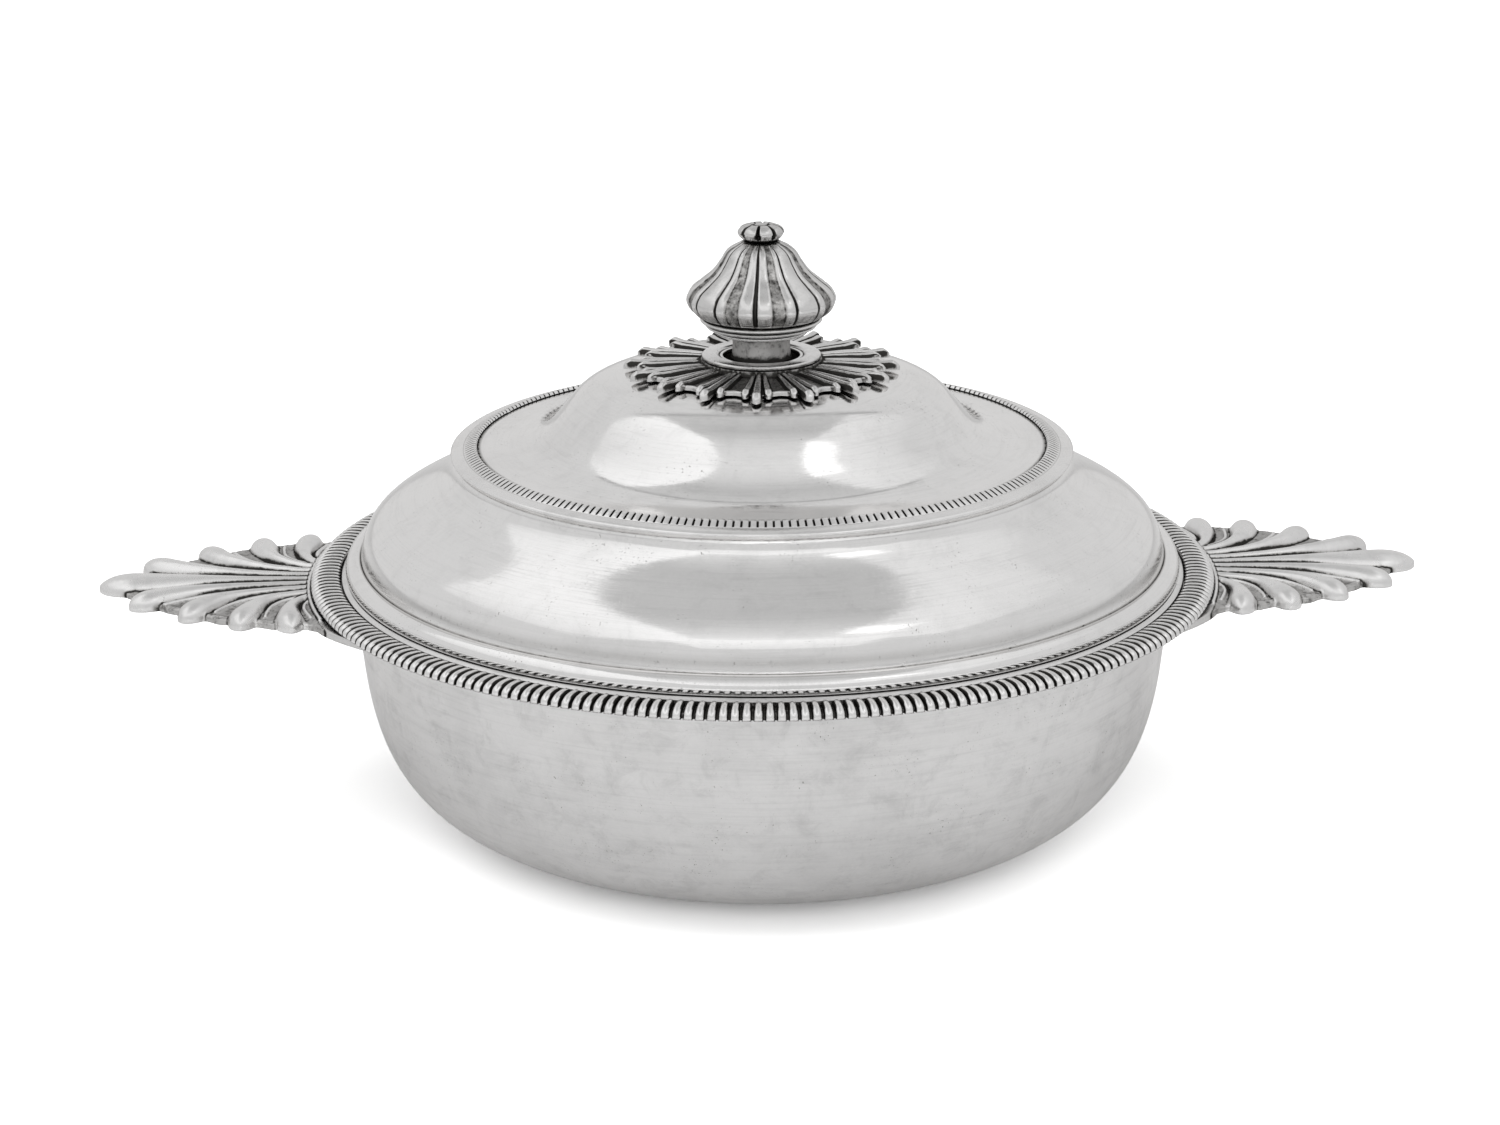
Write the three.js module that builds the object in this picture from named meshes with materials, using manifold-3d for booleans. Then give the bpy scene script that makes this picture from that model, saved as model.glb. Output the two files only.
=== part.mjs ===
// A silver ecuelle: a shallow two-handled bowl with a domed lid.
// Millimetres, +Z up. The origin is the centre of the flat base that the bowl stands on.
// The two palmette handles lie along X, the left one on -X and the right one on +X.

import * as THREE from 'three';
import * as BufferGeometryUtils from 'three/addons/utils/BufferGeometryUtils.js';
import Module from 'manifold-3d';

const wasm = await Module();
wasm.setup();

// Facets round the turned pieces, large and small, and steps along the curves
const roundSegments = 44;
const trimSegments = 60;
const smallSegments = 24;
const bowlSteps = 7;
const bowlInnerSteps = 5;
const crownSteps = 5;
const coveSteps = 4;
const skirtSteps = 5;
const flangeSteps = 2;
const lidInnerSteps = [2, 4, 2, 1];
const arcSteps = 8;
const bandSteps = 4;

// Clearance left where one piece seats on, passes through or slides in another
const seatGap = 0.3;

// Edges shorter than this are drawn together after a join
const joinTolerance = 0.05;

// Bowl, raised from sheet with no foot
const bowlWall = 1.3;
const bowlFloorRadius = 34;
const bowlMouthRadius = 94;
const bowlFlare = 2;
const bowlBellyHeight = 42;
const bowlHeight = 61.4;
const bowlFloorPullShare = 0.76;
const bowlWallPullShare = 0.673;
const bowlWallLeanShare = 0.1;
const bowlFlareShares = [0.3, 0.62];

// Plain wire round the mouth, which carries the lid
const ledgeWidth = 2;
const ledgeDepth = 2.4;
const ledgeRise = 0.3;
const ledgeHollowDepth = 0.5;

// Gadroon border round the plain wire, which it tops by its rise
const rimGadroonCount = 270;
const rimGadroonWidth = 6.7;
const rimGadroonDepth = 2.6;
const rimGadroonRise = 0.2;
const rimGrooveDepth = 0.85;
const rimCrestShares = [[0.4, 1], [1, 0.5]];

// Lid, raised from sheet
const lidWall = 1.2;
const lidOverhang = 1.3;
const lidEdgeThickness = 1;
const creaseInset = 3.5;
const creaseRise = 3.5;
const creaseSlope = 82 * Math.PI / 180;
const creaseReach = 10.6;
const flangeReach = 2.8;
const skirtWidth = 20.8;
const skirtRise = 18.1;
const skirtTopSlope = 33 * Math.PI / 180;
const skirtTopReach = 16;
const stepWidth = 1.3;
const stepFootRise = 1.4;
const stepRise = 2.4;
const stepTaper = 0.3;
const landWidth = 4.9;
const landRise = 2.5;
const coveWidth = 22.6;
const coveRise = 11.2;
const coveFootReach = 16.5;
const domeShoulderSlope = 45 * Math.PI / 180;
const domeShoulderReach = 9;
const domeCrownReach = 19.7;
const domeCrownRise = 6.4;

// Ring under the lid that drops into the mouth of the bowl
const bezelWall = 1;
const bezelClearance = 0.6;
const bezelReach = 6.4;

// Milled ring on the lid
const ringToothCount = 248;
const ringRise = 1.05;
const ringToothDepth = 0.5;
const ringFilletWidth = 1.4;

// Cast rosette under the finial
const rosetteUnits = 16;
const rosetteHubRadius = 13.9;
const rosetteHubThickness = 1.5;
const longRibRadius = 31.3;
const shortRibRadius = 28.3;
const ribGrooveRadius = 27.7;
const webEdgeRadius = 26.2;
const ribRise = 1.3;
const ribGrooveRise = 0.55;
const rosetteLift = 0.35;
const rosetteTipThickness = 0.75;

// Collar ring on the rosette
const collarInset = 0.4;
const collarWidth = 3.8;
const collarThickness = 0.9;

// Finial
const stemRadius = 6.8;
const stemWaistRadius = 6.5;
const stemHeight = 6.3;
const lipRadius = 12.6;
const lipLowerRadius = 10.7;
const lipThickness = 1.3;
const budRadius = 16.9;
const budHeight = 18.3;
const budFootRadius = 13.6;
const budNeckRadius = 4.5;
const budLobes = 12;
const budGrooveDepth = 0.75;
const budRibDrop = 0.2;
const budProfileShares = [[0.14, 0.965], [0.27, 1], [0.4, 0.95], [0.52, 0.815], [0.66, 0.645], [0.86, 0.475]];
const buttonRadius = 5.3;
const buttonHeight = 3.7;
const buttonPetals = 8;
const buttonNotchDepth = 0.7;
const buttonShoulderShare = 0.8;

// Screw that holds the finial, with its washer and nut inside the lid
const studRadius = 2.5;
const studGripDepth = 10;
const studTail = 2.2;
const washerRadius = 8;
const washerThickness = 1.2;
const nutAcrossFlats = 9;
const nutThickness = 3;

// Palmette handles. Tips and notches are given outwards from the border and across.
const webThickness = 1.5;
const webSeatDepth = 2.4;
const lobeRootWidth = 2.8;
const lobeRootPitch = 3.2;
const lobeRise = 4.1;
const lobeRootRise = 2.9;
const lobeTips = [[48.2, 0], [39.1, 15.2], [26.9, 24.8], [14.5, 30.8], [3.1, 32.8]];
const lobeTipWidths = [10.6, 8.8, 8.6, 8.2, 8];
const lobeBends = [[24, 0], [26, 1.6], [20, 3], [13, 4.5], [6, 6]];
const webNotches = [[41.6, 5], [30.8, 17.4], [19.1, 26], [7.4, 30.3]];
const webHeelReach = 0.7;
const webHeelHalfWidth = 34;
const webInsetShare = 0.12;
const bandThickness = 1.2;
const bandHeight = 4;
const bandHalfAngle = 9.5 * Math.PI / 180;
const flangeThickness = 2.4;
const flangeOverlap = 1.8;
const flangeEndWidth = 2.7;
const flangeHalfAngle = 35 * Math.PI / 180;
const flangeShoulderShare = 0.46;

const silver = { color: 0xc9c8c5, roughness: 0.28, metalness: 1 };
const agedSilver = { color: 0xb3b1ad, roughness: 0.36, metalness: 1 };
const innerBrass = { color: 0xb59a5c, roughness: 0.42, metalness: 1 };

const group = new THREE.Group();

function addPiece(name, geometry, finish) {
  const mesh = new THREE.Mesh(geometry, new THREE.MeshStandardMaterial(finish));
  mesh.name = name;
  group.add(mesh);
  return mesh;
}

// A profile is a list of Vector2(radius, height), counterclockwise round the metal.
function turned(profile, segments = roundSegments) {
  const geometry = new THREE.LatheGeometry(profile, segments);
  geometry.rotateX(Math.PI / 2);
  return geometry;
}

function point(radius, height) {
  return new THREE.Vector2(radius, height);
}

function closed(profile) {
  return [...profile, profile[0].clone()];
}

// The same profile moved inwards by a wall's thickness, point by point along its normal
function offsetProfile(profile, distance) {
  return profile.map((here, i) => {
    const before = profile[Math.max(i - 1, 0)];
    const after = profile[Math.min(i + 1, profile.length - 1)];
    const along = after.clone().sub(before).normalize();
    return point(here.x - along.y * distance, here.y + along.x * distance);
  });
}

// Where a profile that runs outwards stands at a given radius, and where one that rises is at a given height
function heightAt(profile, radius) {
  const i = Math.max(profile.findIndex((p) => p.x >= radius), 1);
  return THREE.MathUtils.mapLinear(radius, profile[i - 1].x, profile[i].x, profile[i - 1].y, profile[i].y);
}

function radiusAt(profile, height) {
  const i = Math.max(profile.findIndex((p) => p.y >= height), 1);
  return THREE.MathUtils.mapLinear(height, profile[i - 1].y, profile[i].y, profile[i - 1].x, profile[i].x);
}

function cubic(a, b, c, d, steps) {
  return new THREE.CubicBezierCurve(a, b, c, d).getPoints(steps);
}

function onRound(radius, angle, height) {
  return new THREE.Vector3(radius * Math.cos(angle), radius * Math.sin(angle), height);
}

// A ring of points all round Z, each at the radius and height that place gives for its number
function ringOf(count, place) {
  return Array.from({ length: count }, (_, i) => {
    const angle = i / count * 2 * Math.PI;
    const { radius, height } = place(i);
    return { angle, position: onRound(radius, angle, height) };
  });
}

function evenRing(radius, height, count = roundSegments) {
  return ringOf(count, () => ({ radius, height }));
}

function polePoint(height) {
  return [{ angle: 0, position: new THREE.Vector3(0, 0, height) }];
}

// A closed body from rings that run counterclockwise round its section and need not have equal counts.
// The last ring joins the first one, unless both are single points on the axis.
function stitched(rings) {
  const starts = [];
  const positions = [];
  for (const ring of rings) {
    starts.push(positions.length / 3);
    ring.forEach(({ position }) => positions.push(...position));
  }
  const indices = [];
  const joins = rings[0].length === 1 ? rings.length - 1 : rings.length;
  for (let k = 0; k < joins; k++) {
    const next = (k + 1) % rings.length;
    stitchPair(rings[k], starts[k], rings[next], starts[next], indices);
  }
  const geometry = new THREE.BufferGeometry();
  geometry.setAttribute('position', new THREE.Float32BufferAttribute(positions, 3));
  geometry.setIndex(indices);
  geometry.computeVertexNormals();
  return geometry;
}

function angleOf(ring, i) {
  if (ring.length === 1) {
    return Infinity;
  }
  return i < ring.length ? ring[i].angle : ring[i % ring.length].angle + 2 * Math.PI;
}

function stitchPair(lower, lowerStart, upper, upperStart, indices) {
  const lowerCount = lower.length === 1 ? 0 : lower.length;
  const upperCount = upper.length === 1 ? 0 : upper.length;
  let i = 0;
  let j = 0;
  while (i < lowerCount || j < upperCount) {
    const a = lowerStart + i % lower.length;
    const b = upperStart + j % upper.length;
    const stepLower = j === upperCount || (i < lowerCount && angleOf(lower, i + 1) <= angleOf(upper, j + 1));
    if (stepLower) {
      i++;
      indices.push(a, lowerStart + i % lower.length, b);
    } else {
      j++;
      indices.push(a, upperStart + j % upper.length, b);
    }
  }
}

function toSolid(geometry) {
  const bare = geometry.clone();
  bare.deleteAttribute('normal');
  bare.deleteAttribute('uv');
  const merged = BufferGeometryUtils.mergeVertices(bare);
  const vertProperties = new Float32Array(merged.attributes.position.array);
  const triVerts = new Uint32Array(merged.index.array);
  return new wasm.Manifold(new wasm.Mesh({ numProp: 3, vertProperties, triVerts }));
}

function toGeometry(solid) {
  const { vertProperties, triVerts } = solid.simplify(joinTolerance).getMesh();
  const geometry = new THREE.BufferGeometry();
  geometry.setAttribute('position', new THREE.Float32BufferAttribute(vertProperties, 3));
  geometry.setIndex(Array.from(triVerts));
  geometry.computeVertexNormals();
  return geometry;
}

// Places on the bowl and its rim, worked outwards from the mouth
const bowlBellyRadius = bowlMouthRadius - bowlFlare;
const ledgeTopHeight = bowlHeight + ledgeRise;
const ledgeInnerRadius = bowlMouthRadius + seatGap;
const ledgeOuterRadius = ledgeInnerRadius + ledgeWidth;
const rimGadroonInnerRadius = ledgeOuterRadius + seatGap;
const rimGadroonOuterRadius = rimGadroonInnerRadius + rimGadroonWidth;
const rimGadroonTopHeight = ledgeTopHeight + rimGadroonRise;
const rimGadroonBaseHeight = rimGadroonTopHeight - rimGadroonDepth;

// Places on the lid, worked inwards and upwards from its edge
const lidEdgeRadius = bowlMouthRadius + lidOverhang;
const lidEdgeHeight = ledgeTopHeight + seatGap;
const lidEdgeShoulderHeight = lidEdgeHeight + lidEdgeThickness;
const creaseRadius = lidEdgeRadius - creaseInset;
const creaseHeight = lidEdgeHeight + creaseRise;
const skirtTopRadius = creaseRadius - skirtWidth;
const skirtTopHeight = creaseHeight + skirtRise;
const landOuterRadius = skirtTopRadius - stepWidth;
const stepFootHeight = skirtTopHeight + stepFootRise;
const landOuterHeight = stepFootHeight + stepRise;
const coveFootRadius = landOuterRadius - landWidth;
const coveFootHeight = landOuterHeight + landRise;
const domeShoulderRadius = coveFootRadius - coveWidth;
const domeShoulderHeight = coveFootHeight + coveRise;
const lidTopHeight = domeShoulderHeight + domeCrownRise;

// Bowl
function bowlProfile(steps) {
  const floorEdge = point(bowlFloorRadius, 0);
  const floorPull = point(bowlFloorRadius + (bowlBellyRadius - bowlFloorRadius) * bowlFloorPullShare, 0);
  const wallPull = point(
    bowlBellyRadius - bowlBellyHeight * bowlWallPullShare * bowlWallLeanShare,
    bowlBellyHeight * (1 - bowlWallPullShare),
  );
  const belly = point(bowlBellyRadius, bowlBellyHeight);
  const mouth = point(bowlMouthRadius, bowlHeight);
  const flare = belly.clone().lerp(mouth, bowlFlareShares[1]);
  flare.x = THREE.MathUtils.lerp(belly.x, mouth.x, bowlFlareShares[0]);
  return [...cubic(floorEdge, floorPull, wallPull, belly, steps), flare, mouth];
}

const bowlInner = offsetProfile(bowlProfile(bowlInnerSteps), bowlWall);

function bowlShell() {
  const innerWall = bowlInner.slice(1, -1);
  return turned([
    point(0, 0),
    ...bowlProfile(bowlSteps),
    point(bowlMouthRadius - bowlWall, bowlHeight),
    ...innerWall.reverse(),
    point(bowlFloorRadius, bowlWall),
    point(0, bowlWall),
  ]);
}

function rimLedge() {
  const bottom = ledgeTopHeight - ledgeDepth;
  return turned(closed([
    point(ledgeInnerRadius, bottom),
    point(ledgeOuterRadius, bottom),
    point(ledgeOuterRadius, ledgeTopHeight),
    point((lidEdgeRadius + ledgeOuterRadius) / 2, ledgeTopHeight - ledgeHollowDepth),
    point(lidEdgeRadius, ledgeTopHeight),
    point(ledgeInnerRadius, ledgeTopHeight),
  ]));
}

// Fine ribs lie side by side over the border, with a groove between each two that cuts down on
// the top and inwards on the outer face.
function rimGadroon() {
  const innerTop = rimGadroonTopHeight - rimGrooveDepth;
  const ribRings = rimCrestShares.map(([acrossShare, upShare], k) => ringOf(2 * rimGadroonCount, (i) => {
    const depth = i % 2 === 0 ? 0 : rimGrooveDepth;
    return {
      radius: rimGadroonInnerRadius + rimGadroonWidth * acrossShare - (k === 0 ? 0 : depth),
      height: rimGadroonBaseHeight + rimGadroonDepth * upShare - (k === 0 ? depth : 0),
    };
  }));
  return stitched([
    evenRing(rimGadroonInnerRadius, rimGadroonBaseHeight, trimSegments),
    evenRing(rimGadroonOuterRadius - rimGrooveDepth, rimGadroonBaseHeight, trimSegments),
    ...ribRings.reverse(),
    evenRing(rimGadroonInnerRadius, innerTop, trimSegments),
  ]);
}

// Lid
function crownProfile(domeSteps, footSteps) {
  const slope = point(Math.cos(domeShoulderSlope), -Math.sin(domeShoulderSlope));
  const shoulder = point(domeShoulderRadius, domeShoulderHeight);
  const crown = cubic(
    point(0, lidTopHeight),
    point(domeCrownReach, lidTopHeight),
    shoulder.clone().addScaledVector(slope, -domeShoulderReach),
    shoulder,
    domeSteps,
  );
  const cove = cubic(
    shoulder,
    shoulder.clone().addScaledVector(slope, domeShoulderReach),
    point(coveFootRadius - coveFootReach, coveFootHeight),
    point(coveFootRadius, coveFootHeight),
    footSteps,
  );
  return [...crown, ...cove.slice(1)];
}

function skirtProfile(steps) {
  const top = point(skirtTopRadius, skirtTopHeight);
  const crease = point(creaseRadius, creaseHeight);
  const down = point(Math.cos(skirtTopSlope), -Math.sin(skirtTopSlope));
  const up = point(-Math.cos(creaseSlope), Math.sin(creaseSlope));
  const step = [point(landOuterRadius, landOuterHeight), point(landOuterRadius + stepTaper, stepFootHeight)];
  return [...step, ...cubic(
    top,
    top.clone().addScaledVector(down, skirtTopReach),
    crease.clone().addScaledVector(up, creaseReach),
    crease,
    steps,
  )];
}

function flangeProfile(steps) {
  const edge = point(lidEdgeRadius, lidEdgeShoulderHeight);
  const crease = point(creaseRadius, creaseHeight);
  const bend = point(creaseRadius + flangeReach, creaseHeight);
  return new THREE.QuadraticBezierCurve(crease, bend, edge).getPoints(steps).slice(1);
}

function lidProfile([domeSteps, footSteps, sideSteps, edgeSteps]) {
  return [...crownProfile(domeSteps, footSteps), ...skirtProfile(sideSteps), ...flangeProfile(edgeSteps)];
}

const lidOuter = lidProfile([crownSteps, coveSteps, skirtSteps, flangeSteps]);
const lidInner = offsetProfile(lidProfile(lidInnerSteps), -lidWall);
const studHoleRadius = studRadius + seatGap;

function lidShell() {
  return turned(closed([
    point(studHoleRadius, lidTopHeight - lidWall),
    ...lidInner.slice(1, -1),
    point(lidEdgeRadius - lidWall, lidEdgeHeight),
    point(lidEdgeRadius, lidEdgeHeight),
    ...lidOuter.slice(1).reverse(),
    point(studHoleRadius, lidTopHeight),
  ]));
}

function lidBezel() {
  const bottom = lidEdgeHeight - bezelReach;
  const outerRadius = radiusAt(bowlInner, bottom) - bezelClearance;
  const top = lidInner.at(-2).y - seatGap;
  return turned(closed([
    point(outerRadius - bezelWall, bottom),
    point(outerRadius, bottom),
    point(outerRadius, top),
    point(outerRadius - bezelWall, top),
  ]));
}

// The milled ring follows the straight land between the dome's cove and the skirt.
function lidGadroonRing() {
  const land = point(landOuterRadius, landOuterHeight).sub(point(coveFootRadius, coveFootHeight));
  const width = land.length() - seatGap;
  const along = land.normalize();
  const up = point(-along.y, along.x);
  const at = (across, rise) => point(coveFootRadius, coveFootHeight)
    .addScaledVector(along, seatGap + across)
    .addScaledVector(up, seatGap + rise);
  const toothWidth = width - ringFilletWidth;
  const toothRing = (across) => ringOf(2 * ringToothCount, (i) => {
    const p = at(across, ringRise - (i % 2 === 0 ? 0 : ringToothDepth));
    return { radius: p.x, height: p.y };
  });
  const plainRing = (across, rise) => {
    const p = at(across, rise);
    return evenRing(p.x, p.y, trimSegments);
  };
  return stitched([
    plainRing(0, 0),
    plainRing(width, 0),
    plainRing(width, ringRise - ringToothDepth),
    toothRing(toothWidth),
    plainRing(0, ringRise - ringToothDepth),
  ]);
}

// Rosette, a cast plate of radial ribs with a scalloped edge
const hubTopHeight = lidTopHeight + seatGap + rosetteHubThickness;
const stemBaseHeight = hubTopHeight + seatGap;

function rosetteSeat(radius) {
  return heightAt(lidOuter, radius) + seatGap + rosetteLift * (radius / longRibRadius) ** 2;
}

// One unit of the rosette: share of the unit, edge radius, rise of the metal there
const rosetteUnit = [
  [0, longRibRadius, ribRise],
  [0.11, ribGrooveRadius, ribGrooveRise],
  [0.2, shortRibRadius, ribRise],
  [0.33, webEdgeRadius, ribGrooveRise],
  [0.67, webEdgeRadius, ribGrooveRise],
  [0.8, shortRibRadius, ribRise],
  [0.89, ribGrooveRadius, ribGrooveRise],
];

// A ring that follows the units, with the radius and height that place gives for an edge and a rise
function unitRing(place) {
  const ring = [];
  for (let unit = 0; unit < rosetteUnits; unit++) {
    for (const [unitShare, edge, rise] of rosetteUnit) {
      const angle = (unit + unitShare) / rosetteUnits * 2 * Math.PI;
      const { radius, height } = place(edge, rise);
      ring.push({ angle, position: onRound(radius, angle, height) });
    }
  }
  return ring;
}

function rosette() {
  const edgeBottom = unitRing((edge) => ({ radius: edge, height: rosetteSeat(edge) }));
  const edgeTop = unitRing((edge, rise) => ({
    radius: edge - rosetteTipThickness / 2,
    height: rosetteSeat(edge) + rosetteTipThickness + (rise - ribGrooveRise) / 2,
  }));
  const middleRadius = (rosetteHubRadius + webEdgeRadius) / 2 + rosetteTipThickness;
  const middleTop = unitRing((edge, rise) => ({
    radius: middleRadius,
    height: rosetteSeat(middleRadius) + rosetteTipThickness + rise - ribGrooveRise,
  }));
  return stitched([
    evenRing(studHoleRadius, rosetteSeat(0)),
    evenRing(rosetteHubRadius, rosetteSeat(rosetteHubRadius)),
    evenRing(middleRadius, rosetteSeat(middleRadius)),
    edgeBottom,
    edgeTop,
    middleTop,
    evenRing(rosetteHubRadius, hubTopHeight),
    evenRing(studHoleRadius, hubTopHeight),
  ]);
}

function rosetteCollar() {
  const collarOuterRadius = rosetteHubRadius - collarInset;
  const collarInnerRadius = collarOuterRadius - collarWidth;
  const bottom = stemBaseHeight;
  const top = bottom + collarThickness;
  const lip = collarThickness / 2;
  return turned(closed([
    point(collarInnerRadius, bottom),
    point(collarOuterRadius, bottom),
    point(collarOuterRadius, top - lip),
    point(collarOuterRadius - lip, top),
    point(collarInnerRadius + lip, top),
    point(collarInnerRadius, top - lip),
  ]), smallSegments);
}

// Finial
const stemTopHeight = stemBaseHeight + stemHeight;
const lipBaseHeight = stemTopHeight + seatGap;
const budBaseHeight = lipBaseHeight + lipThickness + seatGap;
const budTopHeight = budBaseHeight + budHeight;
const budBoreHeight = budBaseHeight + studGripDepth;

function finialStem() {
  const middle = (stemBaseHeight + stemTopHeight) / 2;
  return turned(closed([
    point(studHoleRadius, stemBaseHeight),
    point(stemRadius, stemBaseHeight),
    point(stemWaistRadius, middle),
    point(stemRadius, stemTopHeight),
    point(studHoleRadius, stemTopHeight),
  ]), smallSegments);
}

function budBaseRing() {
  const middle = lipBaseHeight + lipThickness / 2;
  return turned(closed([
    point(studHoleRadius, lipBaseHeight),
    point(lipLowerRadius, lipBaseHeight),
    point(lipLowerRadius, middle),
    point(lipRadius, middle),
    point(lipRadius, lipBaseHeight + lipThickness),
    point(studHoleRadius, lipBaseHeight + lipThickness),
  ]), smallSegments);
}

// The bud has broad lobes with a narrow rib between each pair, drawn in to a neck at the top.
function finialBud() {
  const columns = 4 * budLobes;
  const budRing = (radius, height, depthShare) => ringOf(columns, (i) => {
    const groove = i % 2 === 0 ? 0 : budGrooveDepth;
    const rib = i % 4 === 2 ? budRibDrop : 0;
    return { radius: radius - (groove + rib) * depthShare, height };
  });
  const walls = budProfileShares.map(([upShare, outShare]) => budRing(
    budRadius * outShare,
    budBaseHeight + budHeight * upShare,
    outShare,
  ));
  return stitched([
    evenRing(studHoleRadius, budBaseHeight, smallSegments),
    budRing(budFootRadius, budBaseHeight, budFootRadius / budRadius),
    ...walls,
    evenRing(budNeckRadius, budTopHeight, smallSegments),
    polePoint(budTopHeight),
    polePoint(budBoreHeight),
    evenRing(studHoleRadius, budBoreHeight, smallSegments),
  ]);
}

function finialButton() {
  const base = budTopHeight + seatGap;
  const petalRing = (radius, height, depthShare) => ringOf(4 * buttonPetals, (i) => ({
    radius: radius - (i % 4 === 0 ? buttonNotchDepth * depthShare : 0),
    height,
  }));
  const middle = base + buttonHeight / 2;
  return stitched([
    polePoint(base),
    petalRing(budNeckRadius, base, 0),
    petalRing(buttonRadius, middle, 1),
    petalRing((buttonRadius + budNeckRadius) / 2, base + buttonHeight * buttonShoulderShare, 1),
    petalRing(budNeckRadius / 2, base + buttonHeight, 0),
    polePoint(base + buttonHeight),
  ]);
}

const washerTopHeight = heightAt(lidInner, washerRadius) - seatGap;
const nutTopHeight = washerTopHeight - washerThickness - seatGap;
const nutBaseHeight = nutTopHeight - nutThickness;

function studWasher() {
  const bottom = washerTopHeight - washerThickness;
  return turned(closed([
    point(studHoleRadius, bottom),
    point(washerRadius, bottom),
    point(washerRadius, washerTopHeight),
    point(studHoleRadius, washerTopHeight),
  ]), smallSegments);
}

function studNut() {
  const corner = nutAcrossFlats / Math.sqrt(3);
  const corners = evenRing(corner, 0, 6).map(({ position }) => point(position.x, position.y));
  const hexagon = new THREE.Shape(corners);
  hexagon.holes.push(new THREE.Path().absarc(0, 0, studHoleRadius, 0, 2 * Math.PI, true));
  const geometry = new THREE.ExtrudeGeometry(hexagon, {
    depth: nutThickness,
    bevelEnabled: false,
    curveSegments: smallSegments,
  });
  geometry.translate(0, 0, nutBaseHeight);
  return geometry;
}

function finialStud() {
  const bottom = nutBaseHeight - studTail;
  const top = budBoreHeight - seatGap;
  return turned([
    point(0, bottom),
    point(studRadius, bottom),
    point(studRadius, top),
    point(0, top),
  ], smallSegments);
}

// Handles
const handleInnerRadius = rimGadroonOuterRadius + seatGap;
const flangeTopHeight = rimGadroonBaseHeight - seatGap;
const handleBaseHeight = flangeTopHeight - webSeatDepth;

function outwards([reach, across], side = 1) {
  return new THREE.Vector2(handleInnerRadius + reach, across * side);
}

// A closed body through sections with equal counts of points, counterclockwise seen from the far end
function lofted(sections) {
  const count = sections[0].length;
  const positions = sections.flat().flatMap((p) => [p.x, p.y, p.z]);
  const indices = [];
  for (let k = 0; k + 1 < sections.length; k++) {
    for (let i = 0; i < count; i++) {
      const a = k * count + i;
      const b = k * count + (i + 1) % count;
      indices.push(a, b, b + count, a, b + count, a + count);
    }
  }
  const last = (sections.length - 1) * count;
  for (let i = 1; i + 1 < count; i++) {
    indices.push(0, i + 1, i);
    indices.push(last, last + i, last + i + 1);
  }
  const geometry = new THREE.BufferGeometry();
  geometry.setAttribute('position', new THREE.Float32BufferAttribute(positions, 3));
  geometry.setIndex(indices);
  return geometry;
}

// Half-round section of a lobe, as shares of its half width and its rise
const lobeSectionShares = [[-1, 0], [1, 0], [0.84, 0.62], [0, 1], [-0.84, 0.62]];

// Width of a lobe along its length, and how its tip rounds off
const lobeSwellShares = [0, 0.04, 0.13, 0.33, 0.72, 1, 0.86];
const lobeTipShares = [1, 1, 1, 1, 1, 0.96, 0.42];
const lobePlaceShares = [0, 0.2, 0.4, 0.6, 0.8, 0.94, 1];

function lobe(k, side) {
  const rootY = k * lobeRootPitch * side;
  const root = new THREE.Vector2(Math.sqrt(handleInnerRadius ** 2 - rootY ** 2) + bandThickness / 2, rootY);
  const bend = new THREE.Vector2(root.x + lobeBends[k][0], root.y + lobeBends[k][1] * side);
  const path = new THREE.QuadraticBezierCurve(root, bend, outwards(lobeTips[k], side));
  const sections = lobePlaceShares.map((placeShare, s) => {
    const centre = path.getPoint(placeShare);
    const along = path.getTangent(placeShare);
    const across = new THREE.Vector2(along.y, -along.x);
    const fullWidth = THREE.MathUtils.lerp(lobeRootWidth, lobeTipWidths[k], lobeSwellShares[s]);
    const halfWidth = fullWidth / 2 * lobeTipShares[s];
    const rise = THREE.MathUtils.lerp(lobeRootRise, lobeRise, placeShare) * lobeTipShares[s];
    return lobeSectionShares.map(([outShare, upShare]) => new THREE.Vector3(
      centre.x - across.x * outShare * halfWidth,
      centre.y - across.y * outShare * halfWidth,
      handleBaseHeight + upShare * rise,
    ));
  });
  return toSolid(lofted(sections));
}

function plate(shape, bottom, thickness) {
  const geometry = new THREE.ExtrudeGeometry(shape, { depth: thickness, bevelEnabled: false });
  geometry.translate(0, 0, bottom);
  return toSolid(geometry);
}

function arcPoints(radius, from, to, steps) {
  return Array.from({ length: steps + 1 }, (_, i) => {
    const angle = THREE.MathUtils.lerp(from, to, i / steps);
    return new THREE.Vector2(radius * Math.cos(angle), radius * Math.sin(angle));
  });
}

function sector(innerRadius, outerRadius, halfAngle, steps) {
  return new THREE.Shape([
    ...arcPoints(outerRadius, -halfAngle, halfAngle, steps),
    ...arcPoints(innerRadius, halfAngle, -halfAngle, steps),
  ]);
}

// The web is the recessed sheet between the lobes, with a scallop cut in from each pair of tips.
function webShape() {
  const heelRadius = handleInnerRadius + webHeelReach;
  const rootAngle = Math.asin(webHeelHalfWidth / heelRadius);
  const heel = new THREE.Vector2(heelRadius * Math.cos(rootAngle), webHeelHalfWidth);
  const rootCentre = outwards([0, 0]);
  const underTip = (k) => outwards(lobeTips[k]).lerp(rootCentre, webInsetShare);
  const upper = [heel];
  for (let k = webNotches.length - 1; k >= 0; k--) {
    upper.push(underTip(k + 1), outwards(webNotches[k]));
  }
  const lower = upper.map((p) => new THREE.Vector2(p.x, -p.y)).reverse();
  const root = arcPoints(handleInnerRadius + bandThickness / 2, -rootAngle, rootAngle, arcSteps);
  return new THREE.Shape([...root, ...upper, underTip(0), ...lower]);
}

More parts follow.
